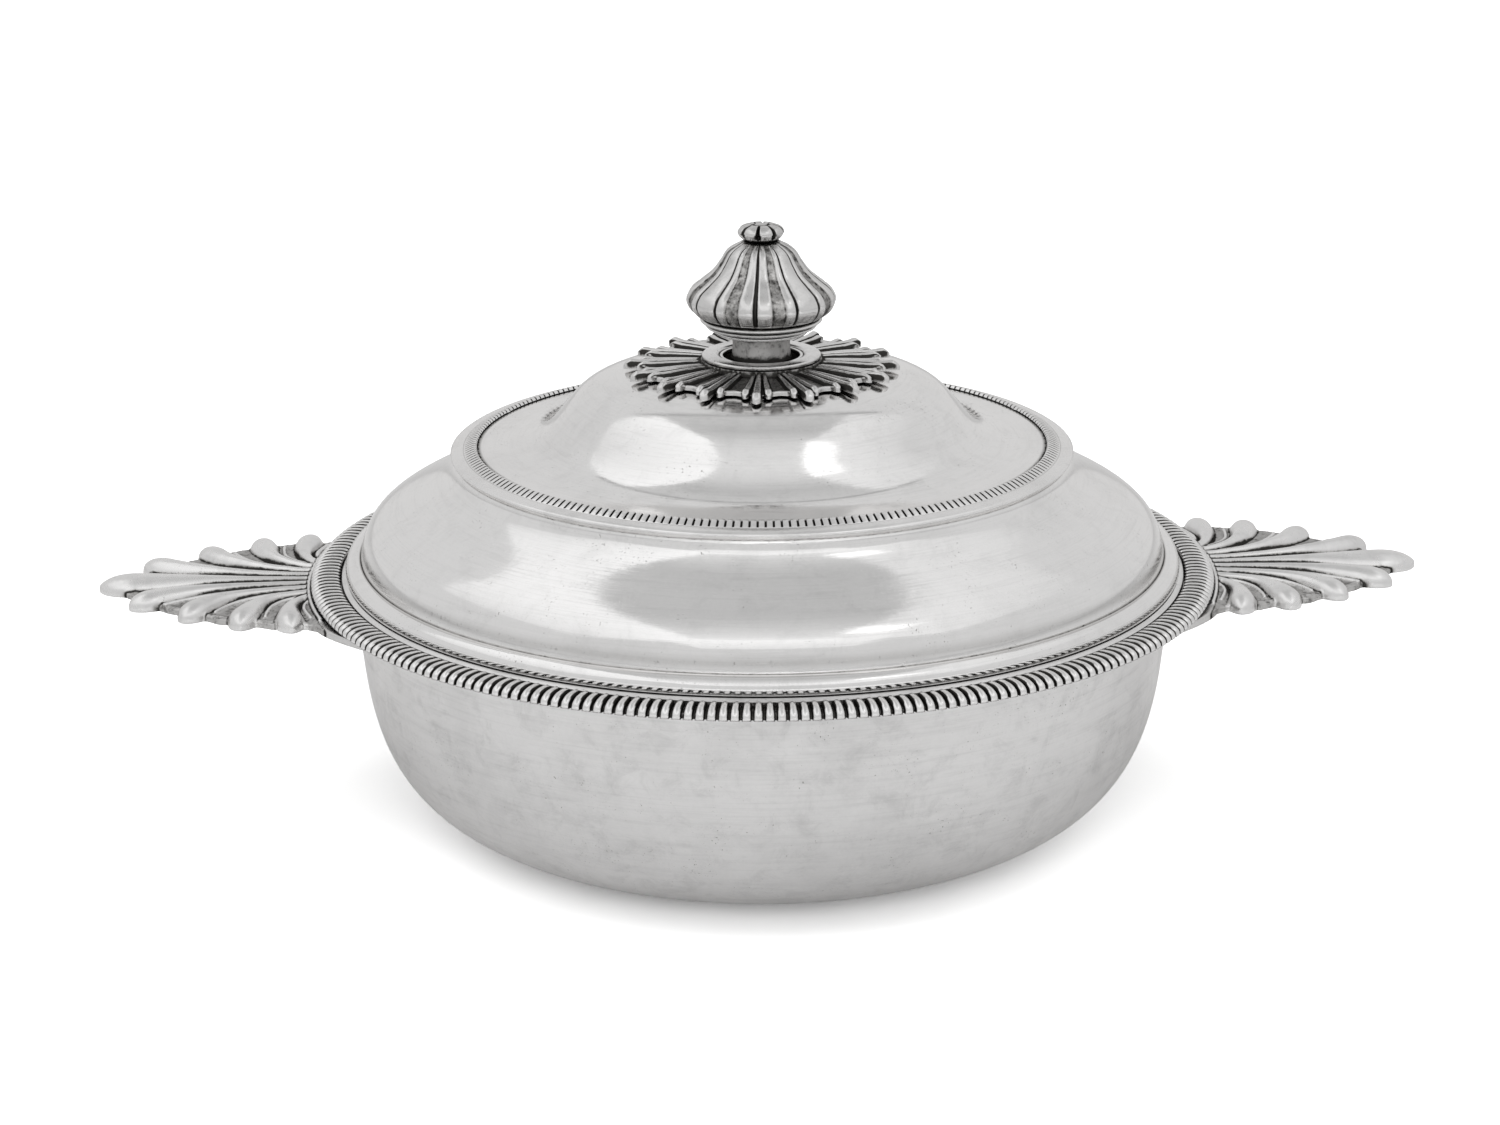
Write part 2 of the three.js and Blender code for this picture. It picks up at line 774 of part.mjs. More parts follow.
// The flange hugs the bowl under the border and thins out to the wall at both ends.
function flangeShape() {
  const wallRadius = bowlMouthRadius + seatGap;
  const shoulderAngle = flangeHalfAngle * flangeShoulderShare;
  const end = arcPoints(wallRadius + flangeEndWidth, -flangeHalfAngle, flangeHalfAngle, 1);
  return new THREE.Shape([
    end[0],
    ...arcPoints(handleInnerRadius + flangeOverlap, -shoulderAngle, shoulderAngle, arcSteps),
    end[1],
    ...arcPoints(wallRadius, flangeHalfAngle, -flangeHalfAngle, arcSteps),
  ]);
}

function handle() {
  const flange = plate(flangeShape(), flangeTopHeight - flangeThickness, flangeThickness);
  const web = plate(webShape(), handleBaseHeight, webThickness);
  const bandShape = sector(handleInnerRadius, handleInnerRadius + bandThickness, bandHalfAngle, bandSteps);
  const band = plate(bandShape, handleBaseHeight, bandHeight);
  let solid = flange.add(web).add(band);
  for (let k = 0; k < lobeTips.length; k++) {
    solid = solid.add(lobe(k, 1));
    if (k > 0) {
      solid = solid.add(lobe(k, -1));
    }
  }
  return toGeometry(solid);
}

addPiece('bowl_shell', bowlShell(), silver);
addPiece('rim_ledge', rimLedge(), silver);
addPiece('rim_gadroon', rimGadroon(), agedSilver);
const handleGeometry = handle();
addPiece('right_handle', handleGeometry, agedSilver);
addPiece('left_handle', handleGeometry, agedSilver).rotation.z = Math.PI;
addPiece('lid_shell', lidShell(), silver);
addPiece('lid_bezel', lidBezel(), silver);
addPiece('lid_gadroon_ring', lidGadroonRing(), agedSilver);
addPiece('rosette', rosette(), agedSilver);
addPiece('rosette_collar', rosetteCollar(), silver);
addPiece('finial_stem', finialStem(), agedSilver);
addPiece('bud_base_ring', budBaseRing(), agedSilver);
addPiece('finial_bud', finialBud(), agedSilver);
addPiece('finial_button', finialButton(), agedSilver);
addPiece('finial_stud', finialStud(), innerBrass);
addPiece('stud_washer', studWasher(), innerBrass);
addPiece('stud_nut', studNut(), innerBrass);

export default group;
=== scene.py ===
"""A silver ecuelle: a shallow bowl with two palmette handles, and a domed lid with a bud finial.

Everything is in metres, +Z up, with the origin at the centre of the flat bottom.
"""

import math

import bpy
import numpy as np
from mathutils import Matrix, Vector


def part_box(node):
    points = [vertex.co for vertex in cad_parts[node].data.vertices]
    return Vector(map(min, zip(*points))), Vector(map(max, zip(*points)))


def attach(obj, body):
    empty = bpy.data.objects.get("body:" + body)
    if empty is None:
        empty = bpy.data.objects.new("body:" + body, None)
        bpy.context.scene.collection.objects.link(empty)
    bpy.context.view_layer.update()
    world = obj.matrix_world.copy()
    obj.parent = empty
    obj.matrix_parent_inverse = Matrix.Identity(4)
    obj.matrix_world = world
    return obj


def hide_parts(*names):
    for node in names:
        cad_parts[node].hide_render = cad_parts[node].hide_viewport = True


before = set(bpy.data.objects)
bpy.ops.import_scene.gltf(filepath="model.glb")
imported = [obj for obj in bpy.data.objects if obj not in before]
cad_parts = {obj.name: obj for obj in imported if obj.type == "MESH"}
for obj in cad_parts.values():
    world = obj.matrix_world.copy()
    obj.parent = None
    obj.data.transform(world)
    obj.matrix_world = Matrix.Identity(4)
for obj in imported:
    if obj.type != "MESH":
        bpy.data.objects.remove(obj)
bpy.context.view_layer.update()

# Lengths are in metres, apart from the lists of offsets, profiles and grooves, which are in mm
MM = 0.001
FULL_TURN = 2 * math.pi
CLEARANCE = 0.3 * MM

# Bowl and its rim
BOWL_WALL = 1.3 * MM
BOWL_FLOOR_RADIUS = 34 * MM
BOWL_MOUTH_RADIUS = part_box("bowl_shell")[1].x
BOWL_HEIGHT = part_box("bowl_shell")[1].z
BOWL_BELLY_RADIUS = BOWL_MOUTH_RADIUS - 2 * MM
BOWL_BELLY_HEIGHT = 42 * MM
BOWL_FLOOR_PULL_SHARE = 0.76
BOWL_WALL_PULL_SHARE = 0.673
BOWL_WALL_LEAN_SHARE = 0.1
BOWL_FLARE_SHARES = (0.015, 0.15)
BOWL_MOUTH_PULL_SHARES = (0.25, 0.4)
BOWL_SEGMENTS = 320

LEDGE_INNER_RADIUS = BOWL_MOUTH_RADIUS + CLEARANCE
LEDGE_OUTER_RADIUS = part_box("rim_ledge")[1].x
LEDGE_BASE_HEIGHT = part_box("rim_ledge")[0].z
LEDGE_TOP_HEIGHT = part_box("rim_ledge")[1].z
LEDGE_BEAD_OFFSETS = [(0.5, -0.25), (0, 0), (-0.5, -0.05), (-0.9, -0.3)]

GADROON_COUNT = 270
GADROON_INNER_RADIUS = LEDGE_OUTER_RADIUS + CLEARANCE
GADROON_OUTER_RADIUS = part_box("rim_gadroon")[1].x
GADROON_BASE_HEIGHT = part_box("rim_gadroon")[0].z
GADROON_TOP_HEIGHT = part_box("rim_gadroon")[1].z
GADROON_CREST_RADIUS = GADROON_INNER_RADIUS + 2.8 * MM
GADROON_SLOT_DEPTH = 1.15 * MM
GADROON_END_LENGTH = 0.8 * MM
GADROON_FOOT_SHARE = 0.79
GADROON_LEAST_SHARE = 0.02
GADROON_FLANK_SHARE = 0.75
GADROON_RIB_SHARES = (0, 0.5, 0.78, 0.92, 1)
GADROON_SLOT_SHARES = (0.2, 0.6)

# Lid
LID_WALL = 1.2 * MM
LID_SEGMENTS = 360
LID_TOP_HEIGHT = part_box("lid_shell")[1].z
LID_EDGE_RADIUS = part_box("lid_shell")[1].x
LID_EDGE_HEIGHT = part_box("lid_shell")[0].z
LID_EDGE_RISE = 1.3 * MM
CREASE_RADIUS = LID_EDGE_RADIUS - 3.5 * MM
CREASE_HEIGHT = LID_EDGE_HEIGHT + 3.5 * MM
CREASE_SLOPE = math.radians(82)
CREASE_REACH = 10.6 * MM
SKIRT_TOP_RADIUS = CREASE_RADIUS - 20.8 * MM
SKIRT_TOP_HEIGHT = CREASE_HEIGHT + 18.1 * MM
SKIRT_TOP_SLOPE = math.radians(33)
SKIRT_TOP_REACH = 16 * MM
SKIRT_STEPS = 60
STEP_JOINS_AT = 18
STEP_PULLS = (3.5 * MM, 6.5 * MM)
LAND_OUTER_RADIUS = SKIRT_TOP_RADIUS - 1.3 * MM
LAND_OUTER_HEIGHT = SKIRT_TOP_HEIGHT + 3.8 * MM
COVE_FOOT_RADIUS = LAND_OUTER_RADIUS - 4.9 * MM
COVE_FOOT_HEIGHT = LAND_OUTER_HEIGHT + 2.5 * MM
COVE_FOOT_REACH = 16.5 * MM
SHOULDER_RADIUS = COVE_FOOT_RADIUS - 22.6 * MM
SHOULDER_HEIGHT = COVE_FOOT_HEIGHT + 11.2 * MM
SHOULDER_SLOPE = math.radians(45)
SHOULDER_REACH = 9 * MM
CROWN_REACH = 19.7 * MM
STUD_HOLE_RADIUS = 2.8 * MM
BEZEL_WALL = 1 * MM
BEZEL_SEGMENTS = 256

RING_TOOTH_COUNT = 248
RING_TOOTH_LENGTH = 2.7 * MM
RING_TOOTH_RISE = 1.0 * MM
RING_TOOTH_END = 0.5 * MM
RING_WALL_RISE = 1.75 * MM
RING_BASE_GAP = 0.1 * MM
RING_SLIT_DEPTH = 0.6 * MM
RING_JOINT = 0.15 * MM
RING_TOOTH_SHARE = 0.75
RING_PLACES = (0, 0.4, 0.6, 0.7, 0.77, 0.9, 1)

# Rosette and finial
ROSETTE_UNITS = 16
ROSETTE_FRONT_ANGLE = math.radians(-90 - 5)
ROSETTE_TOP_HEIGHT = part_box("rosette")[1].z
ROSETTE_SHEET = 0.4 * MM
ROSETTE_COLUMNS = 73
LONG_RIB_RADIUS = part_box("rosette")[1].x
SHORT_RIB_RADIUS = 28.3 * MM
WEB_EDGE_RADIUS = 26.2 * MM
RIB_GAP_RADIUS = 26 * MM
HUB_RADIUS = 13.9 * MM

FINIAL_SEGMENTS = 160
STEM_SEGMENTS = 128
COLLAR_WIDTH = 3.8 * MM
COLLAR_OUTER_OFFSETS = [(-0.35, -0.08), (-0.9, 0)]
COLLAR_INNER_OFFSETS = [(0.5, 0), (0.25, -0.35), (-0.25, -0.5), (-0.4, -0.4), (-0.9, -0.45), (-1.1, -0.75)]

MOULDING_DROP = 1 * MM
MOULDING_LIP_INSET = 2.1 * MM
MOULDING_LIP_OFFSETS = [(-0.9, 0), (-0.1, 0.12), (0.1, 0.4), (0.15, 0.75), (-0.2, 0.95)]
MOULDING_EDGE_OFFSETS = [(-0.8, 1.3), (-0.1, 1.6), (0, 1.95)]

BUD_BASE_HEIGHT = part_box("finial_bud")[0].z
BUD_TOP_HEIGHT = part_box("finial_bud")[1].z
BUD_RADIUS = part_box("finial_bud")[1].x
BUD_UNITS = 4
BUD_FRONT_ANGLE = math.radians(-90 - 7.6)
BUD_LIP_PROFILE = [(12.4, 0), (13.3, 0.05), (13.8, 0.45), (13.5, 0.95), (12.9, 1.3)]
BUD_PROFILE = [
    (12.9, 1.3), (14.5, 1.75), (15.5, 2.5), (16.5, 3.8), (16.9, 5.2), (16.1, 7.2), (13.6, 9.4), (10.9, 11.7),
    (9.2, 14), (7.7, 16.3), (4.4, 18.3),
]
# Angle in degrees over half a quarter of the bud, groove depth in mm, and tarnish
BUD_GROOVES = [
    (0, 1.05, 1), (0.8, 1.0, 1), (1.6, 0.5, 0.8), (2.4, 0.22, 0.1), (4.2, 0.05, 0), (7.5, 0, 0),
    (11, 0.06, 0), (12.6, 0.2, 0.1), (13.4, 0.45, 0.45), (14.2, 0.66, 0.62), (16, 0.7, 0.5),
    (19.5, 0.72, 0.5), (23, 0.7, 0.5), (24.4, 0.66, 0.62), (25.2, 0.4, 0.4), (26.2, 0.16, 0.05),
    (28, 0.03, 0), (29.8, 0, 0), (31.4, 0.07, 0), (32.5, 0.25, 0.25), (33.2, 0.6, 0.85), (34, 0.95, 1),
    (34.8, 0.6, 0.85), (35.6, 0.25, 0.2), (37, 0.1, 0), (40.5, 0.02, 0), (45, 0, 0),
]

BUTTON_BASE_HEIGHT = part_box("finial_button")[0].z
BUTTON_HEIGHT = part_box("finial_button")[1].z - BUTTON_BASE_HEIGHT
BUTTON_RADIUS = 5.3 * MM
# Radius in mm and share of the button's height
BUTTON_PROFILE = [
    (3.4, 0), (4.3, 0.12), (5.05, 0.32), (5.3, 0.52), (4.8, 0.76), (3.5, 0.93), (2.4, 0.97), (1.75, 0.86),
    (1.4, 0.95), (0.8, 1), (0, 1),
]
BUTTON_PETALS = 8
BUTTON_PLACES = (0, 0.02, 0.045, 0.07, 0.1, 0.14, 0.2, 0.3, 0.4, 0.5)
BUTTON_FRONT_ANGLE = math.radians(-90 - 11)

# Handles, drawn for the right one and turned half round for the left one. Places are in mm from the root
HANDLE_INNER_RADIUS = GADROON_OUTER_RADIUS + CLEARANCE
HANDLE_BASE_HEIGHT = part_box("right_handle")[0].z
HANDLE_GRAIN = 0.31 * MM
POLISH_STEPS = 8
HOLLOW_STEPS = 14
HOLLOW_DEPTH = 0.16 * MM
HOLLOW_SHARE = 0.45
RIB_BACK_STEPS = 6
LOBE_BACK_STEPS = 14
WEB_THICKNESS = 1.5 * MM
WEB_NOTCHES = [(41.8, 5), (30.8, 17.4), (18.6, 26), (6.2, 30.4)]
WEB_HEEL = (-6, 34)
WEB_TIP_SHARE = 0.12
# The nine lobes, each with its number from the middle and its side
LOBES = [(0, 1)] + [(k, side) for k in range(1, 5) for side in (1, -1)]
LOBE_ROOT_WIDTH = 2.65 * MM
LOBE_ROOT_PITCH = 3.2 * MM
LOBE_ROOT_RISE = 2.9 * MM
LOBE_RISE = 4.1 * MM
LOBE_TIPS = [(48.2, 0), (39.5, 15.2), (26.5, 24.9), (13.5, 31), (1.5, 33.2)]
LOBE_TIP_WIDTHS = [10.4, 7.6, 7.2, 6.9, 6.7]
LOBE_BENDS = [(24, 0), (26, 1.6), (20, 3), (13, 4.5), (6, 6)]
LOBE_SWELL_SHARES = [
    (0, 0), (0.17, 0.04), (0.33, 0.13), (0.5, 0.33), (0.67, 0.7), (0.82, 0.97), (0.9, 1), (1, 1),
]
LOBE_END_SHARE = 0.78
LOBE_LEAST_WIDTH_SHARE = 0.15
LOBE_LEAST_RISE_SHARE = 0.3
LOBE_STEPS = 40
THIN_RIB_SHARES = (0.12, 0.82)
THIN_RIB_WIDTH = 1.15 * MM
THIN_RIB_RISE = 1.1 * MM
WEB_EDGE_WIDTH = 0.9 * MM
WEB_EDGE_RISE = 0.5 * MM
BAND_THICKNESS = 0.6 * MM
BAND_HEIGHT = 2.9 * MM
BAND_HALF_ANGLE = math.radians(17)
FLANGE_THICKNESS = 1.8 * MM
FLANGE_TOP_HEIGHT = GADROON_BASE_HEIGHT - 0.9 * MM
FLANGE_OUTER_RADIUS = HANDLE_INNER_RADIUS + 1.8 * MM
FLANGE_END_RADIUS = 97 * MM
FLANGE_HALF_ANGLE = math.radians(35)
FLANGE_SHOULDER_SHARE = 0.46

# Noises in the metal: scale, detail and roughness, and for spots the values where they start and are full
CLOUD_NOISE = (34, 6, 0.62, 0.4, 0.72)
BLOTCH_NOISE = (150, 6, 0.7, 0.46, 0.7)
GRAIN_NOISE = (1300, 3, 0.6, 0.3, 0.7)
MARK_NOISE = (1, 5, 0.7, 0.45, 0.75)
BAND_NOISE = (1, 4, 0.65, 0.5, 0.74)
PIT_NOISE = (1900, 3, 0.6, 0.64, 0.7)
PIT_PATCH_NOISE = (120, 4, 0.65, 0.48, 0.66)
HAIR_NOISE = (1, 3, 0.6, 0.64, 0.76)
CROSS_HAIR_NOISE = (1, 3, 0.6, 0.66, 0.78)
STAIN_NOISE = (260, 5, 0.6, 0.4, 0.7)
RAGGED_NOISE = (620, 5, 0.72)
DENT_NOISE = (380, 4, 0.6)
LATHE_NOISE = (1, 3, 0.6)

DULLEST_SHARE = 0.72
GRAIN_SHARE = 0.12
MARK_SHARE = 0.26
BAND_SHARE = 0.3
FILM_AND_SHADE_SHARE = 0.55
RAGGEDNESS = 1.1
TARNISH_SHEEN = 0.3
# The near black is for tarnish in hollows and for painted shade, and the brown is for a film over both and
# for pits.
TARNISH_AND_SHADE = (0.055, 0.053, 0.05, 1)
BROWN_TARNISH_AND_SHADE = (0.2, 0.19, 0.175, 1)
BRASS = (0.62, 0.48, 0.25, 1)
STAINED_BRASS = (0.36, 0.26, 0.13, 1)

# Studio and camera. The cards: x range, y range, height, and glow at their four corners
FLOOR_HALF_SIZE = 6
FLOOR_WHITE = 1.6
FLOOR_GREY = 0.72
STUDIO_LEVEL = 0.72
CARDS = {
    "overhead_card": ((-0.37, 0.36), (-0.75, 0.15), 1.1, (0.9, 0.9, 0.56, 0.56)),
    "overhead_back": ((-0.37, 0.36), (0.15, 0.8), 1.1, (0.56, 0.56, 0.64, 0.64)),
    "front_card": ((-0.6, 0.7), (-1.6, -0.75), 1.1, (0.9, 0.9, 1.1, 1.1)),
    "left_card": ((-1.6, -0.37), (-1.0, 0.8), 1.1, (0.85, 1.1, 0.8, 1.06)),
    "right_card": ((0.36, 1.3), (-1.0, 0.8), 1.1, (1.0, 0.9, 0.86, 0.7)),
    "back_edge": ((-0.55, 0.55), (0.8, 0.9), 1.1, (0.42, 0.42, 0.42, 0.42)),
    "bright_lamp": ((0.3, 0.56), (-0.55, -0.25), 1.05, (1.5, 1.3, 1.5, 1.3)),
}
CARD_STEPS = 8
# The lamps: place, size and power
LAMPS = {
    "left_key": ((-0.8, -0.6, 1.5), 1.2, 5),
    "right_key": ((0.8, -0.6, 1.5), 1.2, 3.5),
    "low_front": ((0.0, -1.3, 0.5), 0.9, 8),
}
LIGHT_TARGET = Vector((0, 0, 0.06))
CAMERA_DISTANCE = 750 * MM
CAMERA_SHIFT = -2.84 * MM
CAMERA_HEIGHT = 296.49 * MM
CAMERA_DIP = 0.3046
CAMERA_ROLL = -0.0056
OBJECT_TURN = math.radians(2.6)
FOCAL_PIXELS = 3412.5
PHOTO_WIDTH = 1500
SENSOR_WIDTH = 36.0


# Nodes and metals

def add_node(tree, kind, inputs=(), output=0, **settings):
    """Adds a node, gives each named input its value or link, and returns one of the node's outputs."""
    node = tree.nodes.new(kind)
    for key, value in settings.items():
        setattr(node, key, value)
    for key, value in dict(inputs).items():
        if isinstance(value, bpy.types.NodeSocket):
            tree.links.new(value, node.inputs[key])
        else:
            node.inputs[key].default_value = value
    return node.outputs[output] if node.outputs else None


class Metal:
    """A metal under construction, with short calls for the nodes that the finishes share."""

    def __init__(self, name):
        self.material = bpy.data.materials.new(name)
        self.material.use_nodes = True
        self.tree = self.material.node_tree
        self.shader = self.tree.nodes["Principled BSDF"].inputs
        self.shader["Metallic"].default_value = 1.0
        self.place = self.node("ShaderNodeTexCoord", output="Object")

    def node(self, kind, inputs=(), output=0, **settings):
        return add_node(self.tree, kind, inputs, output, **settings)

    def feed(self, socket, source):
        self.tree.links.new(source, self.shader[socket])

    def maths(self, operation, a, b, clamp=False):
        return self.node("ShaderNodeMath", {0: a, 1: b}, operation=operation, use_clamp=clamp)

    def times(self, a, b, clamp=False):
        return self.maths("MULTIPLY", a, b, clamp)

    def plus(self, a, b, clamp=False):
        return self.maths("ADD", a, b, clamp)

    def noise(self, pattern, vector=None, distortion=0.0):
        scale, detail, roughness = pattern[:3]
        return self.node("ShaderNodeTexNoise", {
            "Vector": vector or self.place, "Scale": scale, "Detail": detail, "Roughness": roughness,
            "Distortion": distortion,
        }, "Fac")

    def ramp(self, value, low, high, least=0.0, most=1.0):
        """Goes smoothly from least to most while the value goes from low to high."""
        return self.node("ShaderNodeMapRange", {
            "Value": value, "From Min": low, "From Max": high, "To Min": least, "To Max": most,
        }, "Result", interpolation_type="SMOOTHSTEP")

    def spots(self, pattern, vector=None, distortion=0.0):
        return self.ramp(self.noise(pattern, vector, distortion), *pattern[3:])

    def mix(self, share, a, b):
        return self.node("ShaderNodeMix", {"Factor": share, "A": a, "B": b}, "Result", data_type="RGBA")

    def stretched(self, scale, turn):
        inputs = {"Vector": self.place, "Rotation": turn, "Scale": scale}
        return self.node("ShaderNodeMapping", inputs, "Vector")

    def round_the_axis(self, along, across):
        """Places for marks that run round the Z axis: long round it, and fine in radius and height."""
        x, y, z = self.node("ShaderNodeSeparateXYZ", {0: self.place}).node.outputs
        flat = self.node("ShaderNodeCombineXYZ", {"X": x, "Y": y})
        radius = self.node("ShaderNodeVectorMath", {0: flat}, "Value", operation="LENGTH")
        heading = self.node("ShaderNodeVectorMath", {0: flat}, operation="NORMALIZE")
        east, north, _ = self.node("ShaderNodeSeparateXYZ", {0: heading}).node.outputs
        rise = self.maths("SUBTRACT", radius, z)
        return self.node("ShaderNodeCombineXYZ", {
            "X": self.times(east, along), "Y": self.times(north, along), "Z": self.times(rise, across),
        })

    def bump(self, height, distance, strength, under=None):
        inputs = {"Height": height, "Distance": distance, "Strength": strength}
        if under:
            inputs["Normal"] = under
        return self.node("ShaderNodeBump", inputs, "Normal")


def grey(level):
    """A grey with the faint warmth of silver."""
    return (level, level * 0.993, level * 0.988, 1)


def worn_silver(name, level, sheen, haze=0.04, streaks=0.5, mottling=0.3, pitting=0.3):
    """Silver with marks round the axis, hair scratches and pits, dark with tarnish where the metal lies deep
    and with painted shade in gaps and under overhangs.

    level is how bright the bare metal is and sheen its roughness. haze is the roughness that the
    marks add, and the other shares set how strong each kind of wear is.
    """
    metal = Metal(name)
    times, plus, spots, mix = metal.times, metal.plus, metal.spots, metal.mix

    clouded = times(plus(spots(CLOUD_NOISE), spots(BLOTCH_NOISE, distortion=0.5)), mottling)
    grained = plus(clouded, times(spots(GRAIN_NOISE), GRAIN_SHARE * (0.3 + mottling)))
    marks = spots(MARK_NOISE, metal.round_the_axis(2.6, 1500))
    bands = spots(BAND_NOISE, metal.round_the_axis(3.5, 380))
    streaked = plus(times(marks, MARK_SHARE), times(bands, BAND_SHARE))
    dulled = plus(grained, times(streaked, streaks), clamp=True)
    bare = mix(dulled, grey(level), grey(level * DULLEST_SHARE))

    # The attribute read here holds tarnish in hollows and painted shade in gaps, under overhangs and where
    # parts meet. It darkens the metal to near black under a brown film, and it dims the reflection.
    patina_and_shade = metal.node("ShaderNodeAttribute", output="Fac", attribute_name="patina_and_shade")
    ragged = metal.maths("SUBTRACT", times(metal.noise(RAGGED_NOISE), RAGGEDNESS), RAGGEDNESS / 2)
    dark = times(metal.ramp(plus(patina_and_shade, ragged), 0.36, 0.72), metal.ramp(patina_and_shade, 0.08, 0.4), clamp=True)
    film_and_shade = times(metal.ramp(patina_and_shade, 0.05, 0.6), FILM_AND_SHADE_SHARE)
    tarnished_and_shaded = mix(dark, mix(film_and_shade, bare, BROWN_TARNISH_AND_SHADE), TARNISH_AND_SHADE)
    metal.feed("Specular Tint", mix(metal.maths("MAXIMUM", dark, film_and_shade), grey(1.0), grey(0.1)))

    pits = times(times(spots(PIT_NOISE), spots(PIT_PATCH_NOISE)), pitting)
    metal.feed("Base Color", mix(pits, tarnished_and_shaded, BROWN_TARNISH_AND_SHADE))

    hairs = spots(HAIR_NOISE, metal.stretched((60, 2600, 2600), (0, 0.2, 0.5)))
    cross_hairs = spots(CROSS_HAIR_NOISE, metal.stretched((2400, 50, 2400), (0.3, 0, -0.7)))
    scratches = metal.maths("MAXIMUM", hairs, cross_hairs)
    rubbed = times(plus(plus(marks, scratches), clouded), haze)
    metal.feed("Roughness", plus(plus(rubbed, times(dark, TARNISH_SHEEN)), sheen, clamp=True))

    surface = metal.bump(times(plus(times(marks, streaks), scratches), -1.0), 0.016 * MM, 0.4)
    surface = metal.bump(times(pits, -1.0), 0.1 * MM, 0.6, surface)
    surface = metal.bump(metal.noise(DENT_NOISE), 0.05 * MM, 0.12 + 0.4 * mottling, surface)
    metal.feed("Normal", surface)
    return metal.material


def turned_brass():
    """Dull brass with fine lathe rings and brown stains."""
    metal = Metal("turned_brass")
    rings = metal.noise(LATHE_NOISE, metal.round_the_axis(1.5, 5200))
    metal.feed("Base Color", metal.mix(metal.spots(STAIN_NOISE), BRASS, STAINED_BRASS))
    metal.feed("Roughness", metal.ramp(rings, 0.3, 0.7, 0.34, 0.5))
    metal.feed("Normal", metal.bump(rings, 0.03 * MM, 0.5))
    return metal.material


bowl_silver = worn_silver("raised_bowl_silver", 0.83, 0.3, haze=0.05, streaks=0.9, mottling=0.4, pitting=0.9)
lid_silver = worn_silver("raised_lid_silver", 0.88, 0.085, haze=0.11, streaks=0.6, mottling=0.2, pitting=0.7)
border_silver = worn_silver("chased_border_silver", 0.86, 0.22, streaks=0.1, mottling=0.3, pitting=0.3)
handle_silver = worn_silver("cast_handle_silver", 0.84, 0.27, streaks=0.05, mottling=0.35, pitting=0.6)
rosette_silver = worn_silver("cast_rosette_silver", 0.8, 0.24, streaks=0.05, mottling=0.5, pitting=1.0)
finial_silver = worn_silver("cast_finial_silver", 0.82, 0.2, streaks=0.05, mottling=0.55, pitting=1.0)
stem_silver = worn_silver("dull_stem_silver", 0.76, 0.34, streaks=0.1, mottling=0.9, pitting=1.0)
stud_brass = turned_brass()


# Curves and sections

def smooth_step(value):
    value = np.clip(value, 0, 1)
    return value * value * (3 - 2 * value)


def near(value, centre, width):
    """1 at the centre, falling to 0 a width away."""
    return np.clip(1 - np.abs(value - centre) / width, 0, 1)


def polar(radius, angle, height):
    return (radius * math.cos(angle), radius * math.sin(angle), height)


def mirrored(places):
    """Places from the middle outwards, with their mirror images before them."""
    return [-place for place in places[:0:-1]] + list(places)


def offset_from(corner, offsets):
    """Points at offsets in mm from a corner."""
    return [(corner[0] + across * MM, corner[1] + up * MM) for across, up in offsets]


def run_along(points):
    return np.concatenate([[0], np.cumsum(np.hypot(*np.diff(points, axis=0).T))])


def side_vectors(path):
    """Unit vectors to the left of a path's run."""
    along = np.gradient(path, axis=0)
    along /= np.linalg.norm(along, axis=1)[:, None]
    return np.stack([-along[:, 1], along[:, 0]], 1)


def quadratic(a, b, c, steps):
    t = np.linspace(0, 1, steps + 1)[:, None]
    return (1 - t) ** 2 * a + 2 * (1 - t) * t * b + t ** 2 * c


def bezier(a, b, c, d, steps):
    a, b, c, d = (np.array(p, float) for p in (a, b, c, d))
    t = np.linspace(0, 1, steps + 1)[:, None]
    return list((1 - t) ** 3 * a + 3 * (1 - t) ** 2 * t * b + 3 * (1 - t) * t ** 2 * c + t ** 3 * d)


def arc(radius, start, end, steps):
    return [np.array(polar(radius, angle, 0)[:2]) for angle in np.linspace(start, end, steps + 1)]


def softened(profile, radius, steps=4, least_turn=math.radians(20)):
    """The closed profile with each sharp corner off the axis rounded."""
    points = [np.array(p, float) for p in profile]
    made = []
    for i, here in enumerate(points):
        back, on = points[i - 1] - here, points[(i + 1) % len(points)] - here
        back_length, on_length = np.linalg.norm(back), np.linalg.norm(on)
        turn = math.pi - math.acos(float(np.clip(back @ on / (back_length * on_length), -1, 1)))
        if turn < least_turn or here[0] == 0:
            made.append(here)
            continue
        cut = min(radius, back_length * 0.4, on_length * 0.4)
        made += list(quadratic(here + back / back_length * cut, here, here + on / on_length * cut, steps))
    return made


def inward(profile, distance):
    """The profile moved along its normals, to the left of its run."""
    points = np.array(profile, float)
    return list(points + side_vectors(points) * distance)


def curve_through(pairs, steps):
    """A smooth curve through the pairs, in even steps of its length."""
    points = np.array(pairs, float)
    run = run_along(points)
    slope = np.gradient(points, run, axis=0)
    made = []
    for s in np.linspace(0, run[-1], steps + 1):
        k = min(max(int(np.searchsorted(run, s)) - 1, 0), len(run) - 2)
        h = run[k + 1] - run[k]
        t = (s - run[k]) / h
        made.append(
            (2 * t ** 3 - 3 * t ** 2 + 1) * points[k] + (t ** 3 - 2 * t ** 2 + t) * h * slope[k]
            + (-2 * t ** 3 + 3 * t ** 2) * points[k + 1] + (t ** 3 - t ** 2) * h * slope[k + 1]
        )
    return np.array(made)


# Meshes

def placed(name, data):
    thing = bpy.data.objects.new(name, data)
    bpy.context.scene.collection.objects.link(thing)
    return thing


def point_values(mesh, key):
    values = np.empty(len(mesh.vertices) * 3)
    mesh.vertices.foreach_get(key, values)
    return values.reshape(-1, 3)


